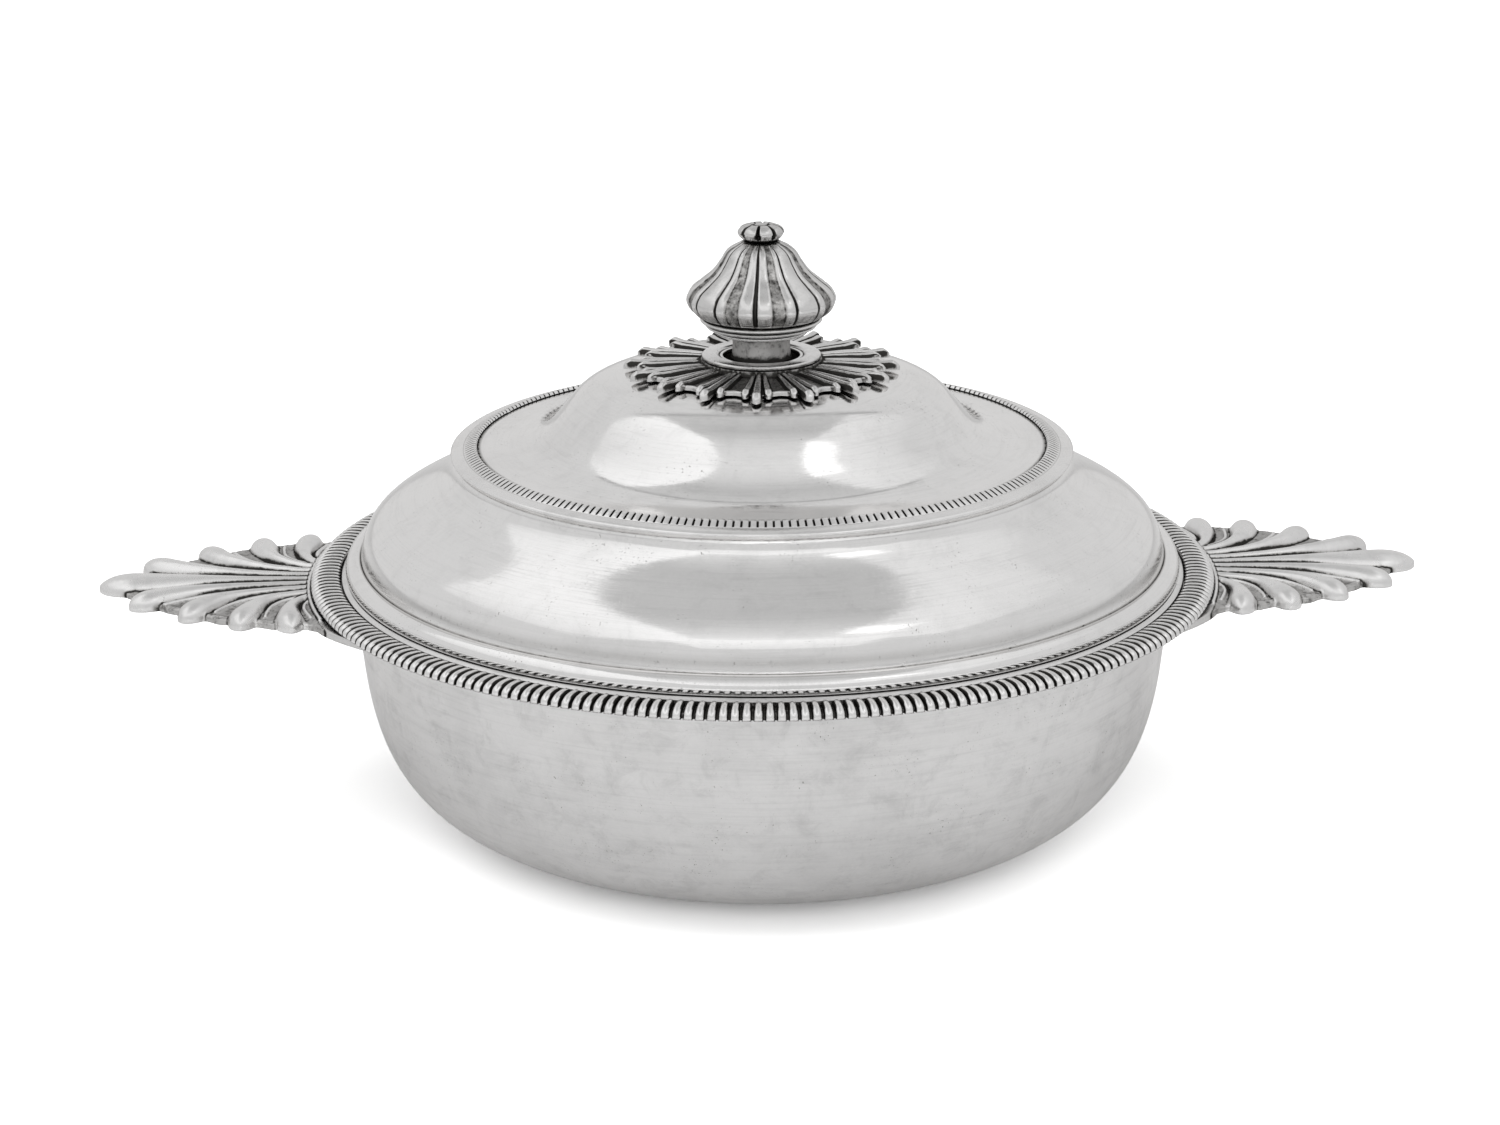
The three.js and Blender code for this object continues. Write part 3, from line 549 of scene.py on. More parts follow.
def store(mesh, name, values):
    """Keeps one number for each point of the mesh, as an attribute."""
    layer = mesh.attributes.new(name, "FLOAT", "POINT")
    layer.data.foreach_set("value", np.array(values, np.float32))


def evaluated_mesh(thing):
    bpy.context.view_layer.update()
    return bpy.data.meshes.new_from_object(thing.evaluated_get(bpy.context.evaluated_depsgraph_get()))


def discard(thing):
    mesh = thing.data
    bpy.data.objects.remove(thing)
    bpy.data.meshes.remove(mesh)


def piece_from(name, vertices, faces, finish, patina_and_shade=None):
    mesh = bpy.data.meshes.new(name)
    mesh.from_pydata([tuple(v) for v in vertices], [], faces)
    mesh.update()
    if patina_and_shade is not None:
        store(mesh, "patina_and_shade", patina_and_shade)
    mesh.materials.append(finish)
    mesh.shade_smooth()
    mesh.set_sharp_from_angle(angle=math.radians(50))
    return placed(name, mesh)


def turned(name, profile, finish, segments, tarnish_and_shade_at):
    """A closed profile, counterclockwise in radius and height, turned round the Z axis.

    The last argument gives layers of tarnish and painted shade from radius and height, and the darkest one
    counts.
    """
    angles = [FULL_TURN * i / segments for i in range(segments)]
    rows, vertices, faces = [], [], []
    for radius, height in profile:
        first = len(vertices)
        if radius == 0:
            rows.append([first] * segments)
            vertices.append((0, 0, height))
        else:
            rows.append(range(first, first + segments))
            vertices += [polar(radius, angle, height) for angle in angles]
    for low, high in zip(rows, rows[1:] + rows[:1]):
        if low[0] == low[1] and high[0] == high[1]:
            continue
        for i in range(segments):
            j = (i + 1) % segments
            corners = [low[i], low[j], high[j], high[i]]
            faces.append([v for n, v in enumerate(corners) if v != corners[n - 1]])
    piece = piece_from(name, vertices, faces, finish)
    points = point_values(piece.data, "co")
    layers = tarnish_and_shade_at(np.hypot(points[:, 0], points[:, 1]), points[:, 2])
    store(piece.data, "patina_and_shade", np.maximum.reduce(layers))
    return piece


def grid_faces(rows, columns):
    return [
        (a, a + 1, a + columns + 1, a + columns)
        for k in range(rows - 1) for a in range(k * columns, (k + 1) * columns - 1)
    ]


def closed_rows(rows, columns):
    """Faces over rows that run round a section and close on the first row."""
    last = (rows - 1) * columns
    return grid_faces(rows, columns) + [(last + i, last + i + 1, i + 1, i) for i in range(columns - 1)]


def copies_tree():
    """Repeats an object's mesh round the Z axis and welds the copies where they meet."""
    tree = bpy.data.node_groups.new("copies_round_the_axis", "GeometryNodeTree")
    tree.is_modifier = True
    tree.interface.new_socket("Geometry", in_out="OUTPUT", socket_type="NodeSocketGeometry")
    for title, kind in (
        ("Geometry", "Geometry"), ("Unit", "Object"), ("Count", "Int"), ("First Angle", "Float"),
        ("Weld Distance", "Float"), ("Finish", "Material"),
    ):
        tree.interface.new_socket(title, in_out="INPUT", socket_type="NodeSocket" + kind)

    def node(kind, inputs=(), output=0, **settings):
        return add_node(tree, kind, inputs, output, **settings)

    given = node("NodeGroupInput").node.outputs
    points = node("GeometryNodePoints", {"Count": given["Count"]})
    step = node("ShaderNodeMath", {0: FULL_TURN, 1: given["Count"]}, operation="DIVIDE")
    index = node("GeometryNodeInputIndex")
    turn = node("ShaderNodeMath", {0: index, 1: step, 2: given["First Angle"]}, operation="MULTIPLY_ADD")
    unit = node("GeometryNodeObjectInfo", {"Object": given["Unit"]}, "Geometry", transform_space="ORIGINAL")
    copies = node("GeometryNodeInstanceOnPoints", {
        "Points": points, "Instance": unit, "Rotation": node("ShaderNodeCombineXYZ", {"Z": turn}),
    })
    real = node("GeometryNodeRealizeInstances", {0: copies})
    weld = node("GeometryNodeMergeByDistance", {"Geometry": real, "Distance": given["Weld Distance"]})
    painted = node("GeometryNodeSetMaterial", {"Geometry": weld, "Material": given["Finish"]})
    node("NodeGroupOutput", {0: painted})
    return tree


copies_round_the_axis = copies_tree()


def repeated(name, points, columns, finish, count, first_angle=0.0, closed=True, flipped=False,
             weld=0.01 * MM, sharp_angle=math.radians(60)):
    """A plain mesh of count copies of a unit round the Z axis.

    points has the radius, angle, height and darkness, from tarnish and painted shade, of each point of the
    unit, row after row. A closed unit's last row joins its first, and flipped turns its faces over.
    """
    faces = (closed_rows if closed else grid_faces)(len(points) // columns, columns)
    vertices = [polar(*point[:3]) for point in points]
    unit = piece_from(name + "_unit", vertices, [face[::-1] for face in faces] if flipped else faces, finish,
                      [point[3] for point in points])
    carrier = placed(name, bpy.data.meshes.new(name + "_carrier"))
    modifier = carrier.modifiers.new("copies", "NODES")
    modifier.node_group = copies_round_the_axis
    given = {
        "Unit": unit, "Count": count, "First Angle": first_angle, "Weld Distance": weld, "Finish": finish,
    }
    for item in copies_round_the_axis.interface.items_tree:
        if item.in_out == "INPUT" and item.name in given:
            modifier[item.identifier] = given[item.name]
    mesh = evaluated_mesh(carrier)
    mesh.name = name
    carrier.modifiers.remove(modifier)
    carrier.data = mesh
    mesh.shade_smooth()
    mesh.set_sharp_from_angle(angle=sharp_angle)
    discard(unit)
    return carrier


def fit(piece, body, slot, *nodes):
    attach(piece, body)
    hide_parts(*nodes)


# Bowl and rim

def bowl_outline():
    """The bowl's outer face from the edge of its floor to its mouth."""
    floor_edge = (BOWL_FLOOR_RADIUS, 0)
    floor_pull = (BOWL_FLOOR_RADIUS + (BOWL_BELLY_RADIUS - BOWL_FLOOR_RADIUS) * BOWL_FLOOR_PULL_SHARE, 0)
    wall_pull = (
        BOWL_BELLY_RADIUS - BOWL_BELLY_HEIGHT * BOWL_WALL_PULL_SHARE * BOWL_WALL_LEAN_SHARE,
        BOWL_BELLY_HEIGHT * (1 - BOWL_WALL_PULL_SHARE),
    )
    belly = np.array((BOWL_BELLY_RADIUS, BOWL_BELLY_HEIGHT))
    mouth = np.array((BOWL_MOUTH_RADIUS, BOWL_HEIGHT))
    lean = belly + BOWL_BELLY_HEIGHT * np.array(BOWL_FLARE_SHARES)
    flare = bezier(belly, lean, mouth - (mouth - belly) * BOWL_MOUTH_PULL_SHARES, mouth, 8)
    return bezier(floor_edge, floor_pull, wall_pull, belly, 44) + flare[1:]


def bowl_shell():
    outer = bowl_outline()
    inner = inward(outer, BOWL_WALL)
    inner[0] = np.array((BOWL_FLOOR_RADIUS, BOWL_WALL))
    inner[-1] = np.array((BOWL_MOUTH_RADIUS - BOWL_WALL, BOWL_HEIGHT))
    halfway = BOWL_FLOOR_RADIUS / 2
    profile = [(0, 0), (halfway, 0), *outer, *inner[::-1], (halfway, BOWL_WALL), (0, BOWL_WALL)]
    profile = softened(profile, 0.4 * MM)
    # Painted shade on the wall under the overhanging border, and painted shade at the foot where the bowl
    # meets the floor.
    piece = turned("bowl_body", profile, bowl_silver, BOWL_SEGMENTS, lambda radius, height: [
        0.5 * near(height, LEDGE_BASE_HEIGHT, 2.5 * MM) * (radius > BOWL_BELLY_RADIUS),
        0.3 * near(height, 0, 3 * MM) * (radius > BOWL_FLOOR_RADIUS),
    ])
    fit(piece, "bowl", "polished_silver", "bowl_shell")


def rim_ledge():
    """The ledge that the lid rests on, with a slope that falls to the border outside the lid's edge."""
    top, bottom = LEDGE_TOP_HEIGHT, LEDGE_BASE_HEIGHT
    bead = LID_EDGE_RADIUS - 0.1 * MM
    profile = [
        (LEDGE_INNER_RADIUS, bottom), (LEDGE_OUTER_RADIUS, bottom), (LEDGE_OUTER_RADIUS, top - 0.55 * MM),
        *offset_from((bead, top), LEDGE_BEAD_OFFSETS), (LEDGE_INNER_RADIUS, top - 0.1 * MM),
    ]
    profile = softened(profile, 0.15 * MM)
    # Painted shade on the outer wall where the ledge meets the border, and painted shadow inside the bead
    # under the lid's edge.
    piece = turned("mouth_ledge", profile, bowl_silver, BOWL_SEGMENTS, lambda radius, height: [
        0.6 * near(radius, LEDGE_OUTER_RADIUS, 0.12 * MM) * (height < top - 0.4 * MM),
        0.9 * np.clip((bead - 0.2 * MM - radius) / (0.3 * MM), 0, 1),
    ])
    fit(piece, "bowl", "polished_silver", "rim_ledge")


def gadroon_places(half_rib):
    """Places across one rib and its half slots, as shares of half the pitch."""
    rib = [half_rib * share for share in GADROON_RIB_SHARES]
    slot = [half_rib + (1 - half_rib) * share for share in GADROON_SLOT_SHARES]
    return mirrored([*rib, *slot, 1])


def gadroon_section():
    """Points over the crest of a rib, from its inner end to its foot."""
    start = np.array((GADROON_INNER_RADIUS, GADROON_TOP_HEIGHT - 0.8 * MM))
    crest = np.array((GADROON_CREST_RADIUS, GADROON_TOP_HEIGHT))
    foot = np.array((GADROON_OUTER_RADIUS, GADROON_BASE_HEIGHT + 0.5 * MM))
    rise = bezier(start, start + (0.1 * MM, 0.65 * MM), crest - (1.6 * MM, 0), crest, 24)
    fall = bezier(crest, crest + (1.9 * MM, 0), foot + (0, 1.5 * MM), foot, 8)
    return np.array([rise[i] for i in (0, 2, 4, 7, 11, 17, 24)] + fall[1:])


def rim_gadroon():
    """A border of rounded ribs with steep dark slots between them."""
    section = gadroon_section()
    half_pitch = math.pi / GADROON_COUNT
    points = []
    for place, normal, length in zip(section, side_vectors(section), run_along(section)):
        end_share = min(1.0, length / GADROON_END_LENGTH)
        half_rib = max(GADROON_FOOT_SHARE * math.sqrt(1 - (1 - end_share) ** 2), GADROON_LEAST_SHARE)
        for across in gadroon_places(half_rib):
            share = abs(across) / half_rib
            # The slots between the ribs are dark with tarnish and painted shade.
            fall, dark = 1.0, 0.75
            if share <= 1.001 and half_rib > GADROON_LEAST_SHARE:
                fall = GADROON_FLANK_SHARE * (1 - math.sqrt(max(0.0, 1 - share ** 2)))
                shoulder = 0.58 + 0.16 * smooth_step((length - 4.6 * MM) / (1.6 * MM))
                dark = smooth_step((share - shoulder) / 0.22)
            radius, height = place - normal * GADROON_SLOT_DEPTH * fall
            points.append((radius, half_pitch * across, height, dark * (0.25 if end_share < 0.3 else 1)))
    width = GADROON_OUTER_RADIUS - GADROON_INNER_RADIUS
    places = gadroon_places(GADROON_FOOT_SHARE)
    # The foot, underside and inner wall get painted shade, and the ends of the slots are fully dark.
    for inset, height, dark in (
        (0.3 * MM, GADROON_BASE_HEIGHT + 0.08 * MM, 0.3), (1.3 * MM, GADROON_BASE_HEIGHT, 0.6),
        (width, GADROON_BASE_HEIGHT, 0.6), (width, section[0][1] - 0.9 * MM, 0.6),
    ):
        for across in places:
            in_slot = abs(across) > GADROON_FOOT_SHARE + 0.01 and inset < 1 * MM
            radius = GADROON_OUTER_RADIUS - inset - GADROON_FLANK_SHARE * GADROON_SLOT_DEPTH * in_slot
            points.append((radius, half_pitch * across, height, 1.0 if in_slot else dark))
    piece = repeated("gadroon_border", points, len(places), border_silver, GADROON_COUNT, flipped=True,
                     sharp_angle=math.radians(75))
    fit(piece, "bowl", "cast_silver", "rim_gadroon")


# Lid

def falling(slope):
    """A direction outwards and down."""
    return np.array((math.cos(slope), -math.sin(slope)))


def lid_outline():
    """The lid's outer face in five runs: crown, cove, step, skirt and edge."""
    shoulder = np.array((SHOULDER_RADIUS, SHOULDER_HEIGHT))
    reach = falling(SHOULDER_SLOPE) * SHOULDER_REACH
    cove_foot = (COVE_FOOT_RADIUS, COVE_FOOT_HEIGHT)
    crown = bezier((0, LID_TOP_HEIGHT), (CROWN_REACH, LID_TOP_HEIGHT), shoulder - reach, shoulder, 30)
    cove_pull = (COVE_FOOT_RADIUS - COVE_FOOT_REACH, COVE_FOOT_HEIGHT)
    cove = bezier(shoulder, shoulder + reach, cove_pull, cove_foot, 36)

    top = np.array((SKIRT_TOP_RADIUS, SKIRT_TOP_HEIGHT))
    crease = np.array((CREASE_RADIUS, CREASE_HEIGHT))
    down = falling(SKIRT_TOP_SLOPE) * SKIRT_TOP_REACH
    whole_skirt = bezier(top, top + down, crease - falling(CREASE_SLOPE) * CREASE_REACH, crease, SKIRT_STEPS)
    skirt = whole_skirt[STEP_JOINS_AT:]

    along = skirt[1] - skirt[0]
    along /= np.linalg.norm(along)
    land = np.array((LAND_OUTER_RADIUS, LAND_OUTER_HEIGHT))
    wall = land + (0.05 * MM, -0.5 * MM)
    step = [land, *bezier(wall, wall - (0, STEP_PULLS[0]), skirt[0] - along * STEP_PULLS[1], skirt[0], 16)]

    edge_top = (LID_EDGE_RADIUS, LID_EDGE_HEIGHT + LID_EDGE_RISE)
    edge_pull = (LID_EDGE_RADIUS - 0.1 * MM, CREASE_HEIGHT - 0.6 * MM)
    lip = crease + (0.35 * MM, 0.12 * MM)
    edge = bezier(lip, lip + (1.3 * MM, 0.1 * MM), edge_pull, edge_top, 12)
    return crown, cove, step, skirt, [crease - (0, 0.15 * MM), *edge]


def lid_shell():
    crown, cove, step, skirt, edge = lid_outline()
    dome = [*crown[1:], *cove[1:]]
    outer = [np.array((STUD_HOLE_RADIUS, LID_TOP_HEIGHT)), *dome, *step, *skirt[1:], *edge]
    inner = inward([*dome, *step[::4], *skirt[1:], *edge[3:]], -LID_WALL)
    outer = [p for p in outer if p[0] >= STUD_HOLE_RADIUS]
    inner = [p for p in inner if p[0] > STUD_HOLE_RADIUS + 0.2 * MM and p[1] > LID_EDGE_HEIGHT + 0.6 * MM]
    profile = [
        (STUD_HOLE_RADIUS, LID_TOP_HEIGHT - LID_WALL), *inner,
        (LID_EDGE_RADIUS - LID_WALL, LID_EDGE_HEIGHT), (LID_EDGE_RADIUS - 0.15 * MM, LID_EDGE_HEIGHT),
        (LID_EDGE_RADIUS, LID_EDGE_HEIGHT + 0.2 * MM), *outer[::-1],
    ]
    # Tarnish and painted shade in the crease with a darker band just inside it, painted shade on the step
    # under the milled ring's rim and where the ring meets the dome, and painted shade under the rosette.
    piece = turned("lid_body", profile, lid_silver, LID_SEGMENTS, lambda radius, height: np.array([
        0.7 * near(radius, CREASE_RADIUS + 0.1 * MM, 0.5 * MM)
        * near(height, CREASE_HEIGHT - 0.1 * MM, 0.5 * MM),
        0.36 * near(radius, CREASE_RADIUS - 0.5 * MM, 1.6 * MM)
        * near(height, CREASE_HEIGHT + 2 * MM, 3.6 * MM),
        0.55 * near(height, LAND_OUTER_HEIGHT, 0.4 * MM) * (radius > LAND_OUTER_RADIUS - 0.2 * MM),
        0.8 * near(radius, COVE_FOOT_RADIUS, 0.5 * MM),
        0.25 * np.clip((LONG_RIB_RADIUS + 0.4 * MM - radius) / (3 * MM), 0, 1),
    ]) * (height > LID_EDGE_HEIGHT))
    fit(piece, "lid", "polished_silver", "lid_shell")


def lid_bezel():
    low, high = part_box("lid_bezel")
    inner = high.x - BEZEL_WALL
    profile = [(inner, low.z), (high.x, low.z), (high.x, high.z), (inner, high.z)]
    # Painted shade at the top, where the ring meets the lid's underside.
    piece = turned("lid_locating_ring", softened(profile, 0.3 * MM), lid_silver, BEZEL_SEGMENTS,
                   lambda radius, height: [0.8 * near(height, high.z, 1.5 * MM)])
    fit(piece, "lid", "polished_silver", "lid_bezel")


def lid_ring():
    """The milled ring: flat teeth with thin dark slits on the dome's side and a plain rim outside."""
    start = np.array((COVE_FOOT_RADIUS, COVE_FOOT_HEIGHT))
    across = np.array((LAND_OUTER_RADIUS, LAND_OUTER_HEIGHT)) - start
    width = np.linalg.norm(across)
    across /= width
    up = np.array((-across[1], across[0]))
    length, tooth, wall = RING_TOOTH_LENGTH, RING_TOOTH_RISE, RING_WALL_RISE
    section = [
        (-0.15 * MM, RING_BASE_GAP), (-0.1 * MM, 0.7 * tooth), (0.25 * MM, tooth),
        (0.5 * length, 1.08 * tooth), (0.85 * length, 1.1 * tooth), (length, 1.08 * tooth),
        (length + RING_JOINT, tooth),
        (length + 0.4 * MM, 1.12 * tooth), (0.7 * width, 0.78 * wall), (0.85 * width, 0.94 * wall),
        (0.96 * width, wall), (width + 0.3 * MM, 0.97 * wall), (width + 0.45 * MM, 0.8 * wall),
        (width + 0.1 * MM, RING_BASE_GAP), (0, RING_BASE_GAP),
    ]
    places = mirrored(RING_PLACES)
    points = []
    for reach, rise in section:
        in_teeth = rise > 0.5 * tooth and reach <= length
        ending = smooth_step((length - reach) / RING_TOOTH_END) if in_teeth else 0.0
        joint = 0.35 if reach == length + RING_JOINT else 0.0
        for place in places:
            share = abs(place)
            in_slit = share > RING_TOOTH_SHARE
            fall = RING_SLIT_DEPTH * ending if in_slit else 0.08 * MM * share ** 2 * ending
            radius, height = start + across * reach + up * (rise - min(fall, rise * 0.9))
            # Tarnish and painted shade in the slits and at the joint between the teeth and the rim.
            dark = max(joint, ending * (1.0 if in_slit else 0.35 if share > 0.65 else 0))
            points.append((radius, math.pi / RING_TOOTH_COUNT * place, height, dark))
    piece = repeated("milled_ring", points, len(places), border_silver, RING_TOOTH_COUNT, flipped=True)
    fit(piece, "lid", "cast_silver", "lid_gadroon_ring")


# Rosette and finial

def rosette_edge(across):
    """The rosette's radius at a share of its unit, where 0 is a long rib and 0.5 is midway to the next."""
    across = np.abs(across)
    long_tip = LONG_RIB_RADIUS - 1.3 * MM * (across / 0.1) ** 2
    short_tip = SHORT_RIB_RADIUS - 1.1 * MM * ((across - 0.235) / 0.085) ** 2
    scallop = WEB_EDGE_RADIUS + 0.4 * MM * (1 - np.cos((across - 0.5) / 0.18 * math.pi)) / 2
    return np.maximum.reduce([
        np.where(across < 0.105, long_tip, 0), np.where(np.abs(across - 0.238) < 0.09, short_tip, 0),
        np.where(across > 0.3, scallop, RIB_GAP_RADIUS),
    ])


def rosette_rise(across, radius, edge):
    """Height of the metal over its thin sheet, and how dark it is painted there, with tarnish and painted
    shade between the ribs.
    """
    across = np.abs(across)
    out = np.clip((radius - HUB_RADIUS) / (SHORT_RIB_RADIUS - HUB_RADIUS), 0, 1)

    def rib(centre, half_width, rise, tip):
        share = np.abs(across - centre) / half_width
        lying = np.sqrt(np.clip(1 - share ** 2.6, 0, 1))
        rounding = np.sqrt(np.clip((tip - radius) / (1.6 * MM), 0, 1))
        swelling = 1 + 0.3 * smooth_step((radius - tip + 4.5 * MM) / (3 * MM))
        return rise * lying * (0.1 + 0.9 * rounding) * swelling, 1 - smooth_step((share - 0.55) / 0.35)

    long_rib, long_crest = rib(0, 0.1 + 0.006 * out, (1.0 + 0.3 * out) * MM, LONG_RIB_RADIUS)
    short_rib, short_crest = rib(0.21 + 0.028 * out, 0.085 + 0.006 * out, (0.8 + 0.3 * out) * MM,
                                 SHORT_RIB_RADIUS)
    edging = near(edge - radius, 0.5 * MM, 0.75 * MM) ** 0.6 * (across > 0.31)
    rise = np.maximum.reduce([long_rib, short_rib, 0.6 * MM * edging])
    dark = 1 - np.maximum.reduce([long_crest, short_crest, 0.8 * edging])
    return rise, np.maximum(dark * np.where(across > 0.35, 0.5, 1.0), 0.15)


def rosette():
    crown, cove, *_ = lid_outline()
    dome = np.array([*crown, *cove[1:]])
    across = np.linspace(-0.5, 0.5, ROSETTE_COLUMNS)
    edge = rosette_edge(across)

    def seat(radius):
        """The height of the underside, which bends up a little from the dome towards the tips."""
        lift = 0.35 * MM * np.clip((radius - 22 * MM) / (9 * MM), 0, 1) ** 1.5
        return np.interp(radius, *dome.T) + CLEARANCE + lift

    # Painted shade on the hub round the stud, under the collar.
    rows = [
        (radius, ROSETTE_TOP_HEIGHT, 1.0 if radius < 9 * MM else 0.5)
        for radius in np.linspace(STUD_HOLE_RADIUS, HUB_RADIUS - 0.3 * MM, 5)
    ]
    for share in np.concatenate([np.linspace(0, 0.8, 14), np.linspace(0.84, 1, 12)]):
        radius = HUB_RADIUS + (edge - HUB_RADIUS) * share
        rise, dark = rosette_rise(across, radius, edge)
        height = np.minimum(seat(radius) + ROSETTE_SHEET + rise, ROSETTE_TOP_HEIGHT)
        # Painted shade at the rib roots beside the collar.
        rows.append((radius, height, np.maximum(dark, 0.9 if share < 0.04 else 0.15)))
    # The underside gets painted shade.
    for share, dark in ((1.0, 0.25), (0.9, 0.5), (0.5, 0.5), (0.0, 0.5)):
        radius = HUB_RADIUS + (edge - HUB_RADIUS) * share
        rows.append((radius, seat(radius), dark))
    rows.append((STUD_HOLE_RADIUS, seat(STUD_HOLE_RADIUS), 0.5))

    angles = across * (FULL_TURN / ROSETTE_UNITS)
    points = [
        point for radius, height, dark in rows
        for point in zip(*np.broadcast_arrays(radius, angles, height, dark))
    ]
    piece = repeated("rosette_plate", points, ROSETTE_COLUMNS, rosette_silver, ROSETTE_UNITS,
                     ROSETTE_FRONT_ANGLE)
    fit(piece, "lid", "cast_silver", "rosette")


def rosette_collar():
    low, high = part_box("rosette_collar")
    outer, inner = high.x, high.x - COLLAR_WIDTH
    profile = [
        (inner - 1.3 * MM, low.z), (outer, low.z), (outer, low.z + 0.5 * MM),
        *offset_from((outer, high.z), COLLAR_OUTER_OFFSETS),
        *offset_from((inner, high.z), COLLAR_INNER_OFFSETS),
    ]
    profile = softened(profile, 0.12 * MM)
    # Tarnish and painted shade in the inner groove, and painted shade round the stem and at the outer edge
    # where the collar sits on the rosette.
    piece = turned("stem_collar", profile, finial_silver, FINIAL_SEGMENTS, lambda radius, height: [
        0.9 * near(radius, inner - 0.1 * MM, 0.35 * MM),
        np.clip((inner - 0.8 * MM - radius) / (0.3 * MM), 0, 1),
        0.4 * near(radius, outer, 0.25 * MM),
    ])
    fit(piece, "lid", "cast_silver", "rosette_collar")


def finial_stem():
    low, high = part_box("finial_stem")
    outer, waist = high.x, high.x - 0.4 * MM
    top = high.z - 0.8 * MM
    foot, head = (outer, low.z + 0.3 * MM), (outer - 0.1 * MM, top)
    side = bezier(foot, (waist, low.z + 1.8 * MM), (waist, top - 1.5 * MM), head, 12)
    profile = [(STUD_HOLE_RADIUS, low.z), (outer + 0.1 * MM, low.z), *side, (STUD_HOLE_RADIUS, top)]
    # Painted shade at the foot inside the collar and at the top under the moulding, over a darker film on
    # the whole stem.
    piece = turned("bud_stem", profile, stem_silver, STEM_SEGMENTS, lambda radius, height: [
        near(height, low.z, 2.2 * MM), 0.4 + 0.3 * near(height, top, 1 * MM),
    ])
    fit(piece, "lid", "cast_silver", "finial_stem")


def bud_base_ring():
    """The moulding under the bud: a wide lip, a dark groove and a smaller lip on the stem."""
    low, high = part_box("bud_base_ring")
    outer, foot = high.x, low.z - MOULDING_DROP
    profile = [
        (STUD_HOLE_RADIUS, foot), *offset_from((outer - MOULDING_LIP_INSET, foot), MOULDING_LIP_OFFSETS),
        *offset_from((outer, foot), MOULDING_EDGE_OFFSETS), (outer - 0.3 * MM, high.z - 0.1 * MM),
        (outer - 0.9 * MM, high.z), (STUD_HOLE_RADIUS, high.z),
    ]
    profile = softened(profile, 0.12 * MM)
    # Tarnish and painted shade in the groove between the lips, and painted shade at the top under the bud
    # and at the foot on the stem.
    piece = turned("bud_foot_moulding", profile, finial_silver, FINIAL_SEGMENTS, lambda radius, height: [
        near(height, foot + 1 * MM, 0.35 * MM) * (radius < outer - 0.5 * MM),
        near(height, high.z, 0.3 * MM), 0.7 * near(height, foot, 0.25 * MM),
    ])
    fit(piece, "lid", "cast_silver", "bud_base_ring")


def finial_bud():
    """A bud of four alike quarters of grooved lobes, which end in a sharp edge over a plain lip."""
    lip = curve_through(offset_from((0, BUD_BASE_HEIGHT), BUD_LIP_PROFILE), 14)
    lobes = curve_through(offset_from((0, BUD_BASE_HEIGHT), BUD_PROFILE), 52)
    profile = np.concatenate([lip, lobes[1:]])
    profile[:, 0] = np.minimum(profile[:, 0], BUD_RADIUS)
    profile[:, 1] = np.clip(profile[:, 1], BUD_BASE_HEIGHT, BUD_TOP_HEIGHT)
    recess = BUD_BASE_HEIGHT + BUD_PROFILE[0][1] * MM
    half = np.array(BUD_GROOVES)
    quarter = np.concatenate([half[:0:-1] * (-1, 1, 1), half])
    points = []
    for row, (radius, height) in enumerate(profile):
        grooved = smooth_step((height - recess - 0.2 * MM) / (0.5 * MM)) if row >= len(lip) else 0.0
        share = min(1.0, (radius / BUD_RADIUS) ** 0.6) * grooved
        # Painted shade in the recess under the lobes' sharp edge.
        under = 0.95 * near(height, recess, 0.55 * MM)
        for angle, depth, dark in quarter:
            dark = max(dark * grooved, under, 0.22)
            points.append((radius - depth * MM * share, math.radians(angle), height, dark))
    for height in (BUD_TOP_HEIGHT, BUD_BASE_HEIGHT):
        points += [(STUD_HOLE_RADIUS, math.radians(angle), height, 1.0) for angle in quarter[:, 0]]
    piece = repeated("lobed_bud", points, len(quarter), finial_silver, BUD_UNITS, BUD_FRONT_ANGLE,
                     sharp_angle=math.radians(65))
    fit(piece, "lid", "cast_silver", "finial_bud")


def finial_button():
    """A flattened knob of eight petals, with a slit and a drilled dot between each two."""
    base, tall = BUTTON_BASE_HEIGHT, BUTTON_HEIGHT
    outline = curve_through([(radius * MM, base + tall * share) for radius, share in BUTTON_PROFILE], 44)
    places = mirrored(BUTTON_PLACES)
    turn = FULL_TURN / BUTTON_PETALS
    points = []
    for radius, height in outline:
        radius = max(radius, 0)
        top_side = smooth_step((height - base - tall * 0.6) / (tall * 0.3))
        ring = near(radius, 1.75 * MM, 0.6 * MM) if height > base + tall * 0.5 else 0.0
        under = near(height, base, 0.9 * MM)
        over_dot = (height - base - tall * 0.38) / (0.75 * MM)
        slotted = radius > 1.9 * MM and height > base + tall * 0.35
        for place in places:
            slit = max(0.0, 1 - abs(place) / 0.13) if slotted else 0.0
            off_dot = math.hypot(place * turn * radius / (0.72 * MM), over_dot)
            dot = math.sqrt(max(0.0, 1 - off_dot ** 2))
            swell = 0.22 * MM * (1 - abs(math.sin(place * math.pi))) * radius / BUTTON_RADIUS
            sunk = max(1.0 * MM * slit, 1.2 * MM * dot)
            out = max(radius - swell - sunk * (1 - top_side), 0)
            # Tarnish and painted shade in the slits, dots and top ring, and painted shade on the underside.
            dark = max(1.0 if slit > 0.15 or dot > 0.15 else 0.0, ring, under, 0.25)
            points.append((out, place * turn, height - sunk * top_side, dark))
    points += [(0, 0, base, 1.0)] * len(places)
    piece = repeated("petal_button", points, len(places), finial_silver, BUTTON_PETALS, BUTTON_FRONT_ANGLE,
                     closed=False, weld=0.012 * MM)
    fit(piece, "lid", "cast_silver", "finial_button")


# Handles

